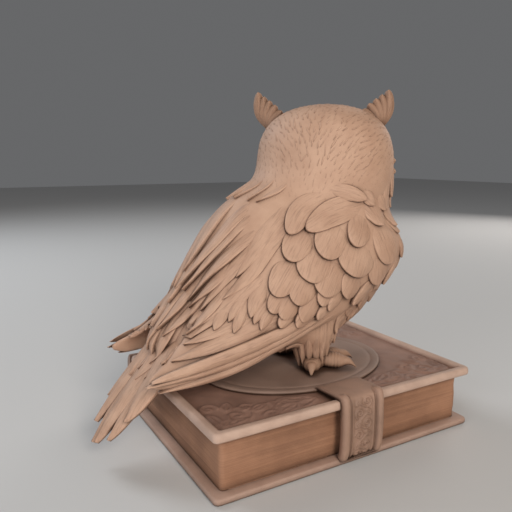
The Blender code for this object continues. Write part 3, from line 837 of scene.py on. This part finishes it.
def under_plumage(skin, rng):
    """Rows of scales down the breast and flanks, and along the underside to the tail."""
    carving = Carving()
    for row in range(14):
        tip_z = 44 + 7.2 * row
        for k in range(9):
            x = (k - 4 + 0.5 * (row % 2)) * 8.6
            if abs(x) > 37:
                continue
            path = [skin.from_front(x * 1.02, tip_z + 17), skin.from_front(x, tip_z + 9),
                    skin.from_front(x, tip_z)]
            if path[0][1] > 10 or path[2][1] > 10:
                continue
            lay_feather(carving, skin, path, 11.5, BREAST, rng)
    for row in range(8):
        tip_y = 98 - 11.5 * row
        for k in range(7):
            x = (k - 3 + 0.5 * (row % 2)) * 7.4
            if abs(x) > 24:
                continue
            path = [skin.from_below(x, tip_y - back) for back in (20, 10, 0)]
            lay_feather(carving, skin, path, 10, UNDERSIDE, rng)
    for side in (1, -1):
        for row in range(4):
            for k in range(3):
                y = -44 + 12 * k + 6 * (row % 2)
                z = 84 - 6 * row - 0.16 * (y + 44)
                path = [skin.from_side(side, y - 5, z + 12), skin.from_side(side, y, z)]
                lay_feather(carving, skin, path, 10, BREAST, rng)
    return carving


def trousers(rng):
    """Loose feathers hanging around each leg in three layers."""
    carving = Carving()
    for side in (1, -1):
        for layer, (top, bottom, wide, count) in enumerate(TROUSER_LAYERS):
            for k in range(count):
                turn = 2 * math.pi * (k + 0.37 * layer) / count
                out = np.array([math.cos(turn), math.sin(turn), 0.0])
                foot = np.array([side * LEG_SIDE, LEG_BACK + 1.0, 0.0])
                drop = rng.uniform(-1.5, 1.5)
                path = [foot + out * (wide + 3) + (0, 2, top),
                        foot + out * (wide + 1.6) + (0, 1, 0.5 * (top + bottom)),
                        foot + out * (wide - 1.2) + (0, 0, bottom + 1.5 + drop)]
                free_feather(carving, path, out, 6.4, TROUSER, rng, bend=0.5)
    return carving


# Toes of the left foot: heading from straight ahead toward the outer side, reach.
# Toes: heading in degrees from straight ahead, and reach.
TOES = ((-28, 26), (3, 29), (38, 26), (128, 17))
HUB_LIFT = 5.4
FOOT_BASE = 35.5
TOE_RADIUS = 5.2
# Along a toe: share of its reach, radius as a share of the toe's, height of its middle.
TOE_PROFILE = ((0.0, 0.85, 6.0), (0.2, 0.95, 5.9), (0.45, 1.0, 5.4), (0.62, 0.9, 4.9), (0.72, 0.62, 4.9),
               (0.80, 0.50, 5.0), (0.90, 0.32, 3.9), (1.0, 0.08, 1.3))
TOE_RINGS = 9


def foot_shape(side):
    """One gripping foot: a hub, four ringed toes and their claws."""
    carving = Carving()
    turn = np.linspace(0, 2 * math.pi, 26, endpoint=False)
    hub = np.array([side * LEG_SIDE, LEG_BACK, FOOT_BASE])
    for heading, reach in TOES:
        angle = math.radians(heading)
        ahead = np.array([side * math.sin(angle), -math.cos(angle), 0.0])
        across = np.array([-ahead[1], ahead[0], 0.0])
        rows = spaced(TOE_PROFILE, np.linspace(0, 1, 90))
        points = []
        for share, radius, height in rows:
            wave = 0.5 - 0.5 * math.cos(2 * math.pi * TOE_RINGS * share / 0.68)
            ringed = 1 - 0.10 * wave**2 * float(1 - smoothstep(0.62, 0.70, share))
            size = TOE_RADIUS * radius * ringed
            middle = hub + ahead * reach * share + (0, 0, height)
            for a in turn:
                flat = 0.9 + 0.1 * abs(math.cos(a))
                low = max(-height + 0.1, size * math.sin(a) * flat)
                points.append(middle + across * size * math.cos(a) + np.array([0, 0, low]))
        points = np.array(points)
        carving.add(points, ring_faces(len(rows), len(turn)), *plain_grain(points))
    ball = ((0.0, 1.0), (0.4, 0.95), (0.75, 0.72), (0.95, 0.4), (1.03, 0.0), (0.95, -0.35), (0.7, -0.6),
            (0.0, -0.62))
    points, faces = turned(ball, hub + (0, 0, HUB_LIFT), (0, 0.05, 1), 8.2, 32)
    carving.add(points, faces, *plain_grain(points))
    return carving


# ---------------------------------------------------------------- the book

BOARD_LEFT = -65.0
BOARD_RIGHT = 57.7
HALF_LENGTH = 85.5
RIM_TOP = 36.0
PANEL_TOP = 33.5
BOARD_UNDER = 31.3
RIM_WIDTH = 5.2
PAGE_LEFT = -59.6
PAGE_RIGHT = 57.9
PAGE_HALF = 80.1
MEDALLION = (2.0, 0.0, 47.0, 60.0)      # middle x and y, half sizes


def oblong(left, right, half, corner, count):
    """A loop around a rectangle with rounded corners, starting in the middle of its right side.

    It mirrors in y, so that point k faces point count - k.
    """
    corner = max(min(corner, 0.5 * (right - left) - 0.01, half - 0.01), 0.01)
    quarter = np.linspace(0, math.pi / 2, 7)
    upper = [(right, 0.0)]
    upper += [(right - corner + corner * math.cos(a), half - corner + corner * math.sin(a)) for a in quarter]
    upper += [(left + corner - corner * math.sin(a), half - corner + corner * math.cos(a)) for a in quarter]
    upper.append((left, 0.0))
    upper = np.array(upper)
    run = np.concatenate([[0], np.cumsum(np.linalg.norm(np.diff(upper, axis=0), axis=1))])
    wanted = np.linspace(0, run[-1], count // 2 + 1)
    half_loop = np.stack([np.interp(wanted, run, upper[:, axis]) for axis in (0, 1)], axis=1)
    lower = half_loop[-2:0:-1] * (1, -1)
    return np.concatenate([half_loop, lower])


def stacked(loops, heights):
    """Points and faces of a solid through flat loops, each at its own height or heights."""
    rows = [np.column_stack([loop, np.broadcast_to(height, len(loop))])
            for loop, height in zip(loops, heights)]
    return np.concatenate(rows), ring_faces(len(rows), len(loops[0]))


def scroll(middle, size, turns, hand, start=0.0):
    """Points along a spiral that winds in toward its middle."""
    t = np.linspace(0, 1, 160)
    angle = start + hand * 2 * math.pi * turns * t
    radius = size * (1 - t) ** 1.1 + 0.4
    return np.stack([middle[0] + radius * np.cos(angle), middle[1] + radius * np.sin(angle)], axis=1)


def leaf_lines(base, angle, length):
    """Outline and midrib of a pointed leaf."""
    t = np.linspace(0, 1, 60)
    belly = 0.24 * length * np.sin(math.pi * t) ** 0.8
    flat = np.concatenate([np.stack([length * t, belly], 1), np.stack([length * t, -belly], 1),
                           np.stack([length * t, 0 * t], 1)])
    turn = np.array([[math.cos(angle), math.sin(angle)], [-math.sin(angle), math.cos(angle)]])
    return np.asarray(base) + flat @ turn


def corner_ornament():
    """Scroll and leaf lines for one corner of the panel, measured from that corner inward."""
    return np.concatenate([
        scroll((17, 21), 8.5, 1.6, 1, 0.4), scroll((31, 11), 5.0, 1.4, -1, 2.0),
        scroll((9.5, 38), 4.6, 1.4, 1, -1.2), leaf_lines((12, 9), -0.1, 13), leaf_lines((9, 12), 1.4, 13),
        leaf_lines((24, 18), 0.5, 10), leaf_lines((18, 30), 1.2, 11),
        scroll((23, 29), 4.2, 1.2, -1, 1.0), leaf_lines((9, 9), 0.75, 9)])


def lines_tree(points):
    tree = KDTree(len(points))
    for index, (x, y) in enumerate(points):
        tree.insert((x, y, 0.0), index)
    tree.balance()
    return tree


# Leaves on the panel beside the strap: distance along the board from its middle, angle and length.
STRAP_LEAVES = ((18, 0.0, 26), (24, 0.5, 16), (30, -0.4, 15), (36, 0.75, 11))
# Insets from the board's outline: its lower edge with heights over the underside, then its rim.
LOWER_EDGE = ((9.0, 0.0), (1.2, 0.0), (0.4, 0.25), (0.05, 1.0), (0.0, 2.2))
RIM_INSETS = (0.2, 0.6, 1.2, 2.0, 3.0, 3.8, 4.5, 5.0, 5.3, 5.6, 6.0)
FRONT_COUNT = 520         # points around the front board
# Edge of the back board from the middle of its underside to the middle of its top: inset and height.
BACK_EDGE = ((30, 0.0), (9, 0.0), (1.0, 0.0), (0.3, 0.3), (0.0, 1.1), (0.0, 2.5), (0.3, 3.3), (1.0, 3.6),
             (9, 3.6), (30, 3.6))
BACK_COUNT = 360


def panel_ornament():
    """All the lines on the panel: scrollwork in its corners, and leaves on both sides of the strap."""
    corner = corner_ornament()
    lines = []
    for x_edge, x_sign in ((BOARD_LEFT, 1), (BOARD_RIGHT, -1)):
        for y_sign in (1, -1):
            along = y_sign * (HALF_LENGTH - corner[:, 1])
            lines.append(np.stack([x_edge + x_sign * corner[:, 0], along], 1))
    for y_sign in (1, -1):
        for base, angle, length in STRAP_LEAVES:
            leaf = leaf_lines((base, 15.0), angle, length)
            lines.append(np.stack([BOARD_LEFT + leaf[:, 1], y_sign * leaf[:, 0]], 1))
    return np.concatenate(lines)


def board_loop(inset, corner, count):
    return oblong(BOARD_LEFT + inset, BOARD_RIGHT - inset, HALF_LENGTH - inset, corner, count)


def worn_relief(tree, loop):
    """Height of the panel's worn lines, and of the slight waves between them."""
    away = np.array([tree.find((x, y, 0.0))[2] for x, y in loop])
    relief = 0.62 * np.exp(-(away / 0.75) ** 2) + 0.22 * np.exp(-(away / 2.4) ** 2)
    bend = 2.2 * np.sin(0.16 * loop[:, 0])
    return relief + 0.10 * np.sin(0.55 * loop[:, 1] + bend) * np.sin(0.31 * loop[:, 0])


def front_cover():
    """The upper board: a bullnose rim around a sunk panel with worn ornament."""
    tree = lines_tree(panel_ornament())
    loops = []
    heights = []
    for inset, rise in LOWER_EDGE:
        loops.append(board_loop(inset, 2.6 - inset * 0.5, FRONT_COUNT))
        heights.append(BOARD_UNDER + rise)
    for inset in np.concatenate([RIM_INSETS, np.arange(6.7, 61.2, 0.75)]):
        loop = board_loop(inset, 2.6 - inset * 0.3, FRONT_COUNT)
        rim = RIM_TOP - 0.35 * abs((inset - 2.4) / 2.4) ** 3 - 1.3 * max(0.0, 1 - inset / 0.9) ** 2
        step = float(smoothstep(RIM_WIDTH - 0.9, RIM_WIDTH + 0.5, inset))
        relief = worn_relief(tree, loop) if inset > RIM_WIDTH + 1 else 0.0
        loops.append(loop)
        heights.append(rim * (1 - step) + PANEL_TOP * step + relief)
    points, faces = stacked(loops, heights)
    inward = np.minimum(np.minimum(points[:, 0] - BOARD_LEFT, BOARD_RIGHT - points[:, 0]),
                        HALF_LENGTH - np.abs(points[:, 1]))
    # The rim gets the boards' painted highlight.
    return carved(points, faces, 1 - smoothstep(RIM_WIDTH - 0.6, RIM_WIDTH + 0.4, inward))


def back_cover():
    loops = [board_loop(inset, 2.6, BACK_COUNT) for inset, height in BACK_EDGE]
    points, faces = stacked(loops, [height for inset, height in BACK_EDGE])
    # Half the painted highlight over the whole back board.
    return carved(points, faces, 0.5)


def page_block(rng):
    """The closed leaves: fine uneven lines all around, fading toward the rounded corners."""
    count = 460
    levels = np.linspace(3.7, 31.2, 67)
    depth = rng.uniform(0.35, 0.60, len(levels)) * (0.15 + 0.85 * (np.arange(len(levels)) % 2))
    slow = np.cumsum(rng.normal(0, 1, count // 2 + 1))
    slow = np.convolve(slow - slow.mean(), np.ones(25) / 25, "same")
    slow = slow / np.abs(slow).max()
    wander = np.concatenate([slow, slow[-2:0:-1]])
    base = oblong(PAGE_LEFT, PAGE_RIGHT, PAGE_HALF, 2.2, count)
    corner = np.minimum(np.hypot(base[:, 0] - PAGE_LEFT, np.abs(base[:, 1]) - PAGE_HALF) / 22, 1.0)
    middle = np.array([0.5 * (PAGE_LEFT + PAGE_RIGHT), 0.0])
    half = np.array([0.5 * (PAGE_RIGHT - PAGE_LEFT), PAGE_HALF])
    rows = []
    for level, cut in zip(levels, depth):
        wave = 0.25 * np.sin(0.35 * level + 1.5 * wander)
        inset = cut * (0.25 + 0.75 * corner) * (0.75 + 0.35 * wander) + wave
        moved = middle + (base - middle) * (1 - np.maximum(inset, 0)[:, None] / half)
        rows.append(np.column_stack([moved, level + 0.12 * wander]))
    return carved(np.concatenate(rows), ring_faces(len(levels), count))


# Medallion from its underside over the border and groove: share of the half sizes, and height.
MEDALLION_EDGE = ((0.90, 33.8), (1.0, 33.8), (1.0, 34.7), (0.993, 35.2), (0.975, 35.4), (0.95, 35.42),
                  (0.925, 35.38), (0.912, 35.25), (0.905, 35.1), (0.893, 35.1), (0.885, 35.2),
                  (0.872, 35.36), (0.84, 35.4), (0.78, 35.35))
MEDALLION_FLAT = (0.7, 0.6, 0.5, 0.4, 0.3, 0.2, 0.1, 0.01)      # shares of the level middle
MEDALLION_TOP = 35.3


def medallion():
    """The oval plate under the owl: a rounded border, a groove and a slightly rippled middle."""
    x0, y0, half_x, half_y = MEDALLION
    turn = np.linspace(0, 2 * math.pi, 180, endpoint=False)
    rows = []
    for share, z in MEDALLION_EDGE + tuple((share, MEDALLION_TOP) for share in MEDALLION_FLAT):
        x = x0 + half_x * share * np.cos(turn)
        y = y0 + half_y * share * np.sin(turn)
        fade = float(1 - smoothstep(0.8, 0.88, share)) * (z > 34)
        ripple = 0.10 * np.sin(0.25 * x + 0.9 * np.sin(0.12 * y)) * fade
        rows.append(np.column_stack([x, y, z + ripple]))
    return carved(np.concatenate(rows), ring_faces(len(rows), len(turn)))


SPINE_BANDS = (-62.0, -22.0, 22.0, 62.0)
SPINE_ENDS = np.array([84.6, 85.2, 85.45, 85.5])      # stations close together at the rounded ends
SPINE_INNER = 58.0        # x of the spine's inner face


def spine_shape():
    """The rounded spine with four raised bands."""
    stations = np.concatenate([-SPINE_ENDS[::-1], np.linspace(-83.5, 83.5, 200), SPINE_ENDS])
    around = np.linspace(-1, 1, 25)
    rows = []
    for y in stations:
        end = math.sqrt(max(0.0, 1 - max(0.0, (abs(y) - 84.3) / 1.2) ** 2)) * 0.12 + 0.88
        band = sum(math.exp(-((y - place) / 2.3) ** 4) for place in SPINE_BANDS)
        grooves = sum(math.exp(-((abs(y - place) - 4.6) / 0.6) ** 2) for place in SPINE_BANDS)
        outer = []
        for v in around:
            bulge = 5 + 2.0 * (1 - v * v) * end + 1.1 * band * (1 - v**8) - 0.3 * grooves
            height = 18 + 18 * v * (0.985 + 0.015 * end)
            outer.append((SPINE_INNER + bulge * (1 - abs(v) ** 9 * 0.7), y, height))
        inner = [(SPINE_INNER, y, height) for height in (35.0, 18.0, 1.0)]
        rows.append(np.array(outer + inner))
    return carved(np.concatenate(rows), ring_faces(len(stations), len(rows[0])))


STRAP_HALF = 13.5
# Strap's outer face from its tip on the cover, over the edge and down the fore-edge: x and z.
STRAP_PATH = ((-42.5, 35.4), (-44.5, 37.0), (-48, 37.9), (-55, 38.5), (-62, 38.6), (-66.0, 37.6),
              (-67.3, 34.6), (-67.6, 30), (-67.9, 20), (-67.6, 11), (-66.7, 6), (-65.2, 3.8))
STRAP_THICK = 2.4


def strap_ornament():
    """A running vine between two straight lines, along the strap's upright face."""
    s = np.linspace(25, 60, 260)
    lines = [np.stack([s, 3.0 * np.sin(0.52 * s)], 1)]
    lines += [np.stack([s, 0 * s + rail], 1) for rail in (7.0, -7.0)]
    for k in range(6):
        middle = 28.0 + 6.05 * k
        hand = 1 if k % 2 else -1
        lines.append(scroll((middle, hand * 2.6), 2.7, 1.3, hand, 0.5 * k))
        lines.append(leaf_lines((middle - 1.5, -hand * 1.5), -hand * 0.9, 4.6))
    return np.concatenate(lines)


def strap_shape():
    """The clasp strap: round cords along both edges and low vine ornament between them."""
    tree = lines_tree(strap_ornament())
    stations = 220
    path = spaced(STRAP_PATH, np.linspace(0, 1, stations))
    ahead = np.gradient(path, axis=0)
    ahead /= np.linalg.norm(ahead, axis=1)[:, None]
    out = np.stack([ahead[:, 1], -ahead[:, 0]], axis=1)
    run = np.concatenate([[0], np.cumsum(np.linalg.norm(np.diff(path, axis=0), axis=1))])
    across = np.linspace(-1, 1, 73) * STRAP_HALF
    rows = []
    for k in range(stations):
        edge = np.abs(across)
        cords = float(smoothstep(19, 25, run[k]))
        cord = cords * 1.8 * np.sqrt(np.clip(1 - ((edge - 11.3) / 2.2) ** 2, 0, 1))
        groove = -0.55 * cords * np.exp(-((edge - 8.6) / 0.5) ** 2)
        fade = float(smoothstep(24, 28, run[k]))
        away = np.array([tree.find((run[k], y, 0.0))[2] for y in across])
        vine = (0.8 * np.exp(-(away / 0.5) ** 2) - 0.25) * fade * (edge < 8.2)
        start = float(smoothstep(0, 7, run[k]))
        height = (cord * start + groove + vine) * start
        upper = np.stack([path[k, 0] + out[k, 0] * height, across, path[k, 1] + out[k, 1] * height], 1)
        thick = STRAP_THICK * (0.4 + 0.6 * start)
        back_x, back_z = path[k] - out[k] * thick
        lower = np.stack([np.full(3, back_x), across[[72, 36, 0]], np.full(3, back_z)], 1)
        rows.append(np.concatenate([upper, lower]))
    return carved(np.concatenate(rows), ring_faces(stations, len(rows[0])))


# ---------------------------------------------------------------- materials


def node(tree, kind, **settings):
    made = tree.nodes.new(kind)
    for key, value in settings.items():
        setattr(made, key, value)
    return made


def math_node(tree, operation, first, second):
    made = node(tree, "ShaderNodeMath", operation=operation)
    for socket, value in zip(made.inputs, (first, second)):
        if isinstance(value, (int, float)):
            socket.default_value = value
        else:
            tree.links.new(value, socket)
    return made.outputs[0]


def mix_colours(tree, share, first, second, blend="MIX"):
    made = node(tree, "ShaderNodeMix", data_type="RGBA", blend_type=blend)
    for index, value in ((0, share), (6, first), (7, second)):
        if isinstance(value, tuple):
            made.inputs[index].default_value = (*value, 1.0)
        elif isinstance(value, (int, float)):
            made.inputs[index].default_value = value
        else:
            tree.links.new(value, made.inputs[index])
    return made.outputs[2]


def remap(tree, value, low, high, to_low=0.0, to_high=1.0):
    made = node(tree, "ShaderNodeMapRange")
    tree.links.new(value, made.inputs["Value"])
    for name, number in (("From Min", low), ("From Max", high), ("To Min", to_low), ("To Max", to_high)):
        made.inputs[name].default_value = number
    return made.outputs["Result"]


def noise(tree, vector, scale, detail=3.0, rough=0.55):
    made = node(tree, "ShaderNodeTexNoise")
    tree.links.new(vector, made.inputs["Vector"])
    made.inputs["Scale"].default_value = scale
    made.inputs["Detail"].default_value = detail
    made.inputs["Roughness"].default_value = rough
    return made.outputs["Fac"]


LIGHT_CLAY = (0.58, 0.365, 0.255)
DARK_CLAY = (0.485, 0.288, 0.194)
SHADE_AND_BARB_CLAY = (0.075, 0.033, 0.017)       # painted shade in all the hollows, and the colour of the feathers' dark barbs


def stretched_noise(tree, vector, scale, detail, rough=0.55):
    """Noise drawn out along the axes where scale is small."""
    stretch = node(tree, "ShaderNodeMapping")
    stretch.inputs["Scale"].default_value = scale
    tree.links.new(vector, stretch.inputs["Vector"])
    return noise(tree, stretch.outputs[0], 1.0, detail, rough)


def blank_material(name):
    """A new material with its node tree, its shader and its place in the object."""
    material = bpy.data.materials.new(name)
    material.use_nodes = True
    tree = material.node_tree
    place = node(tree, "ShaderNodeTexCoord").outputs["Object"]
    return material, tree, tree.nodes["Principled BSDF"], place


def resin(name, light, dark, combed=False, grain=1.0, roughness=0.66):
    """Tinted cast resin: cloudy colour, painted shade darkening the hollows and a fine sandy grain.

    combed adds the dark barbs, and a painted highlight on the feathers' edges and tips.
    """
    material, tree, shader, place = blank_material(name)
    clouds = noise(tree, place, 60, 4)
    colour = mix_colours(tree, remap(tree, clouds, 0.35, 0.65), dark, light)
    specks = noise(tree, place, 2600, 2)
    colour = mix_colours(tree, remap(tree, specks, 0.3, 0.75, 0.0, 0.35), colour, dark)
    relief = specks
    strength = 0.22 * grain
    if combed:
        lines = node(tree, "ShaderNodeAttribute", attribute_name="grain")
        barbs = stretched_noise(tree, lines.outputs["Vector"], (1.5, 0.10, 1.0), 3, 0.6)
        colour = mix_colours(tree, remap(tree, barbs, 0.30, 0.50, 0.30, 0.0), colour, SHADE_AND_BARB_CLAY)
        relief = math_node(tree, "ADD", specks, math_node(tree, "MULTIPLY", barbs, 4.0))
        # Painted highlight: a feather's edges and tips turn paler.
        highlight = node(tree, "ShaderNodeAttribute", attribute_name="painted_highlight").outputs["Fac"]
        pale = tuple(min(1, 1.22 * share) for share in light)
        colour = mix_colours(tree, remap(tree, highlight, 0.2, 1.0, 0.0, 0.35), colour, pale)
    # Painted shade: ambient occlusion darkens the hollows and the gaps between pieces.
    hollow = node(tree, "ShaderNodeAmbientOcclusion", samples=6)
    hollow.inputs["Distance"].default_value = 0.0055
    shade = remap(tree, hollow.outputs["AO"], 0.42, 0.93, 0.98, 0.0)
    colour = mix_colours(tree, shade, colour, SHADE_AND_BARB_CLAY)
    tree.links.new(colour, shader.inputs["Base Color"])
    gloss = remap(tree, clouds, 0.3, 0.7, roughness - 0.06, roughness + 0.08)
    tree.links.new(gloss, shader.inputs["Roughness"])
    bump = node(tree, "ShaderNodeBump")
    bump.inputs["Strength"].default_value = strength
    bump.inputs["Distance"].default_value = 0.0006
    tree.links.new(relief, bump.inputs["Height"])
    tree.links.new(bump.outputs["Normal"], shader.inputs["Normal"])
    return material


def book_resin(name, light, dark, highlight):
    """Resin of the boards: a painted highlight, patchy with noise, makes the rim paler than the sunk panel;
    painted shade darkens the hollows more.
    """
    material = resin(name, light, dark)
    tree = material.node_tree
    shader = tree.nodes["Principled BSDF"]
    under = shader.inputs["Base Color"].links[0].from_socket
    # Painted highlight on the rim, mixed in patchily.
    rim = node(tree, "ShaderNodeAttribute", attribute_name="painted_highlight").outputs["Fac"]
    place = node(tree, "ShaderNodeTexCoord").outputs["Object"]
    patchy = math_node(tree, "MULTIPLY", rim, remap(tree, noise(tree, place, 90, 4), 0.3, 0.6, 0.7, 1.0))
    rim_highlit_colour = mix_colours(tree, patchy, under, highlight)
    # Stronger painted shade in the boards' hollows.
    hollow = [item for item in tree.nodes if item.type == "AMBIENT_OCCLUSION"][0]
    shade = remap(tree, hollow.outputs["AO"], 0.15, 0.7, 0.9, 0.0)
    tree.links.new(mix_colours(tree, shade, rim_highlit_colour, SHADE_AND_BARB_CLAY), shader.inputs["Base Color"])
    return material


def page_resin(name):
    """Resin of the page block: fine darker level lines."""
    material = resin(name, (0.42, 0.212, 0.12), (0.33, 0.16, 0.09))
    tree = material.node_tree
    shader = tree.nodes["Principled BSDF"]
    under = shader.inputs["Base Color"].links[0].from_socket
    place = node(tree, "ShaderNodeTexCoord").outputs["Object"]
    lines = stretched_noise(tree, place, (12, 12, 1500), 2, 0.5)
    line_darkening = remap(tree, lines, 0.32, 0.5, 0.32, 0.0)
    tree.links.new(mix_colours(tree, line_darkening, under, (0.16, 0.07, 0.04)), shader.inputs["Base Color"])
    return material


def streaked(name, scale, detail, dark, light, roughness):
    """A material with streaks along z, for the hidden pins and dowels."""
    material, tree, shader, place = blank_material(name)
    streaks = stretched_noise(tree, place, scale, detail)
    tree.links.new(mix_colours(tree, streaks, dark, light), shader.inputs["Base Color"])
    tree.links.new(remap(tree, streaks, 0.2, 0.8, *roughness), shader.inputs["Roughness"])
    return material


def brushed_steel():
    material = streaked("pin_brushed_steel", (4000, 4000, 120), 3, (0.42, 0.42, 0.43), (0.62, 0.62, 0.63),
                        (0.25, 0.45))
    material.node_tree.nodes["Principled BSDF"].inputs["Metallic"].default_value = 1.0
    return material


def birch_wood():
    return streaked("dowel_birch", (700, 700, 40), 4, (0.55, 0.38, 0.22), (0.72, 0.55, 0.36), (0.55, 0.8))


# ---------------------------------------------------------------- build


def add_eye(side, label, eye_clay, lid_clay):
    middle = head_point(EYE_AHEAD, side * EYE_SIDE, EYE_HEIGHT)
    ball = turned(EYE_PROFILE, middle, eye_axis(side), EYE_RADIUS)
    eye = mesh_piece("eye_ball_" + label, *ball, eye_clay, "eye_resin")
    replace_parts(eye, "eye_" + label)
    lid_middle = head_point(EYE_AHEAD + 0.6, side * EYE_SIDE, EYE_HEIGHT)
    lid = turned(LID_PROFILE, lid_middle, eye_axis(side), EYE_RADIUS)
    mesh_piece("eyelid_" + label, *lid, lid_clay)


def build_owl():
    plumage = resin("owl_plumage", LIGHT_CLAY, DARK_CLAY, combed=True)
    tuft_clay = resin("tuft_clay", (0.38, 0.22, 0.14), (0.30, 0.165, 0.105), combed=True)
    smooth_clay = resin("owl_clay", LIGHT_CLAY, DARK_CLAY)
    foot_clay = resin("foot_clay", (0.42, 0.25, 0.165), (0.33, 0.19, 0.12))
    eye_clay = resin("eye_clay", (0.30, 0.17, 0.10), (0.20, 0.11, 0.065), grain=0.3, roughness=0.30)
    beak_clay = resin("beak_clay", (0.46, 0.28, 0.18), (0.36, 0.21, 0.135), grain=0.6, roughness=0.5)
    points, faces = owl_skin()
    skin = Skin(points, faces)
    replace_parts(mesh_piece("owl_body", points, faces, smooth_clay), "torso", "head", "leg_left", "leg_right")
    for side, label in ((1, "left"), (-1, "right")):
        wing = wing_plumage(skin, side, np.random.default_rng(SEED)).piece("wing_feathers_" + label, plumage)
        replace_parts(wing, "wing_" + label)
        tuft = tuft_ribs(side, np.random.default_rng(SEED + 1)).piece("ear_tuft_ribs_" + label, tuft_clay)
        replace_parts(tuft, "ear_tuft_" + label)
        add_eye(side, label, eye_clay, smooth_clay)
        foot = foot_shape(side).piece("gripping_foot_" + label, foot_clay, "foot_resin")
        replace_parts(foot, "foot_" + label)
    mantle_plumage(skin, np.random.default_rng(SEED + 2)).piece("back_feathers", plumage)
    tail = tail_plumage(np.random.default_rng(SEED + 3)).piece("tail_feathers", plumage)
    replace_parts(tail, "tail")
    head_plumage(skin, points, np.random.default_rng(SEED + 4)).piece("head_feathers", plumage)
    face_plumage(skin, np.random.default_rng(SEED + 5)).piece("face_feathers", plumage)
    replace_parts(mesh_piece("hooked_beak", *beak_shape(), beak_clay), "beak")
    under_plumage(skin, np.random.default_rng(SEED + 6)).piece("breast_feathers", plumage)
    trousers(np.random.default_rng(SEED + 7)).piece("leg_feathers", plumage)


def build_book():
    boards = book_resin("board_clay", (0.36, 0.205, 0.15), (0.26, 0.145, 0.105), (0.58, 0.40, 0.31))
    oval = resin("medallion_clay", (0.325, 0.215, 0.165), (0.26, 0.17, 0.13))
    strap = resin("strap_clay", (0.40, 0.24, 0.17), (0.30, 0.18, 0.125))
    spine = resin("spine_clay", (0.40, 0.25, 0.18), (0.30, 0.18, 0.13))
    rng = np.random.default_rng(SEED + 8)
    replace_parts(front_cover().piece("front_board_carved", boards, "book_cover_resin"), "front_cover")
    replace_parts(back_cover().piece("back_board", boards, "book_cover_resin"), "back_cover")
    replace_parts(page_block(rng).piece("pages", page_resin("page_clay"), "page_resin"), "page_block")
    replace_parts(medallion().piece("medallion_oval", oval, "medallion_resin"), "cover_medallion")
    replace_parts(spine_shape().piece("banded_spine", spine, "book_cover_resin"), "spine")
    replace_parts(strap_shape().piece("strap_with_vine", strap, "strap_resin"), "clasp_strap")


def finish_inner_parts():
    """The pins and dowels inside keep their CAD shape and get a finish of their own."""
    metal = brushed_steel()
    birch = birch_wood()
    for name in ("leg_pin_left", "leg_pin_right"):
        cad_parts[name].data.materials[0] = metal
    for name in ("neck_dowel", "wing_peg_left", "wing_peg_right", "tail_peg"):
        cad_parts[name].data.materials[0] = birch


add_camera()
add_lights()
add_floor()
build_owl()
build_book()
finish_inner_parts()
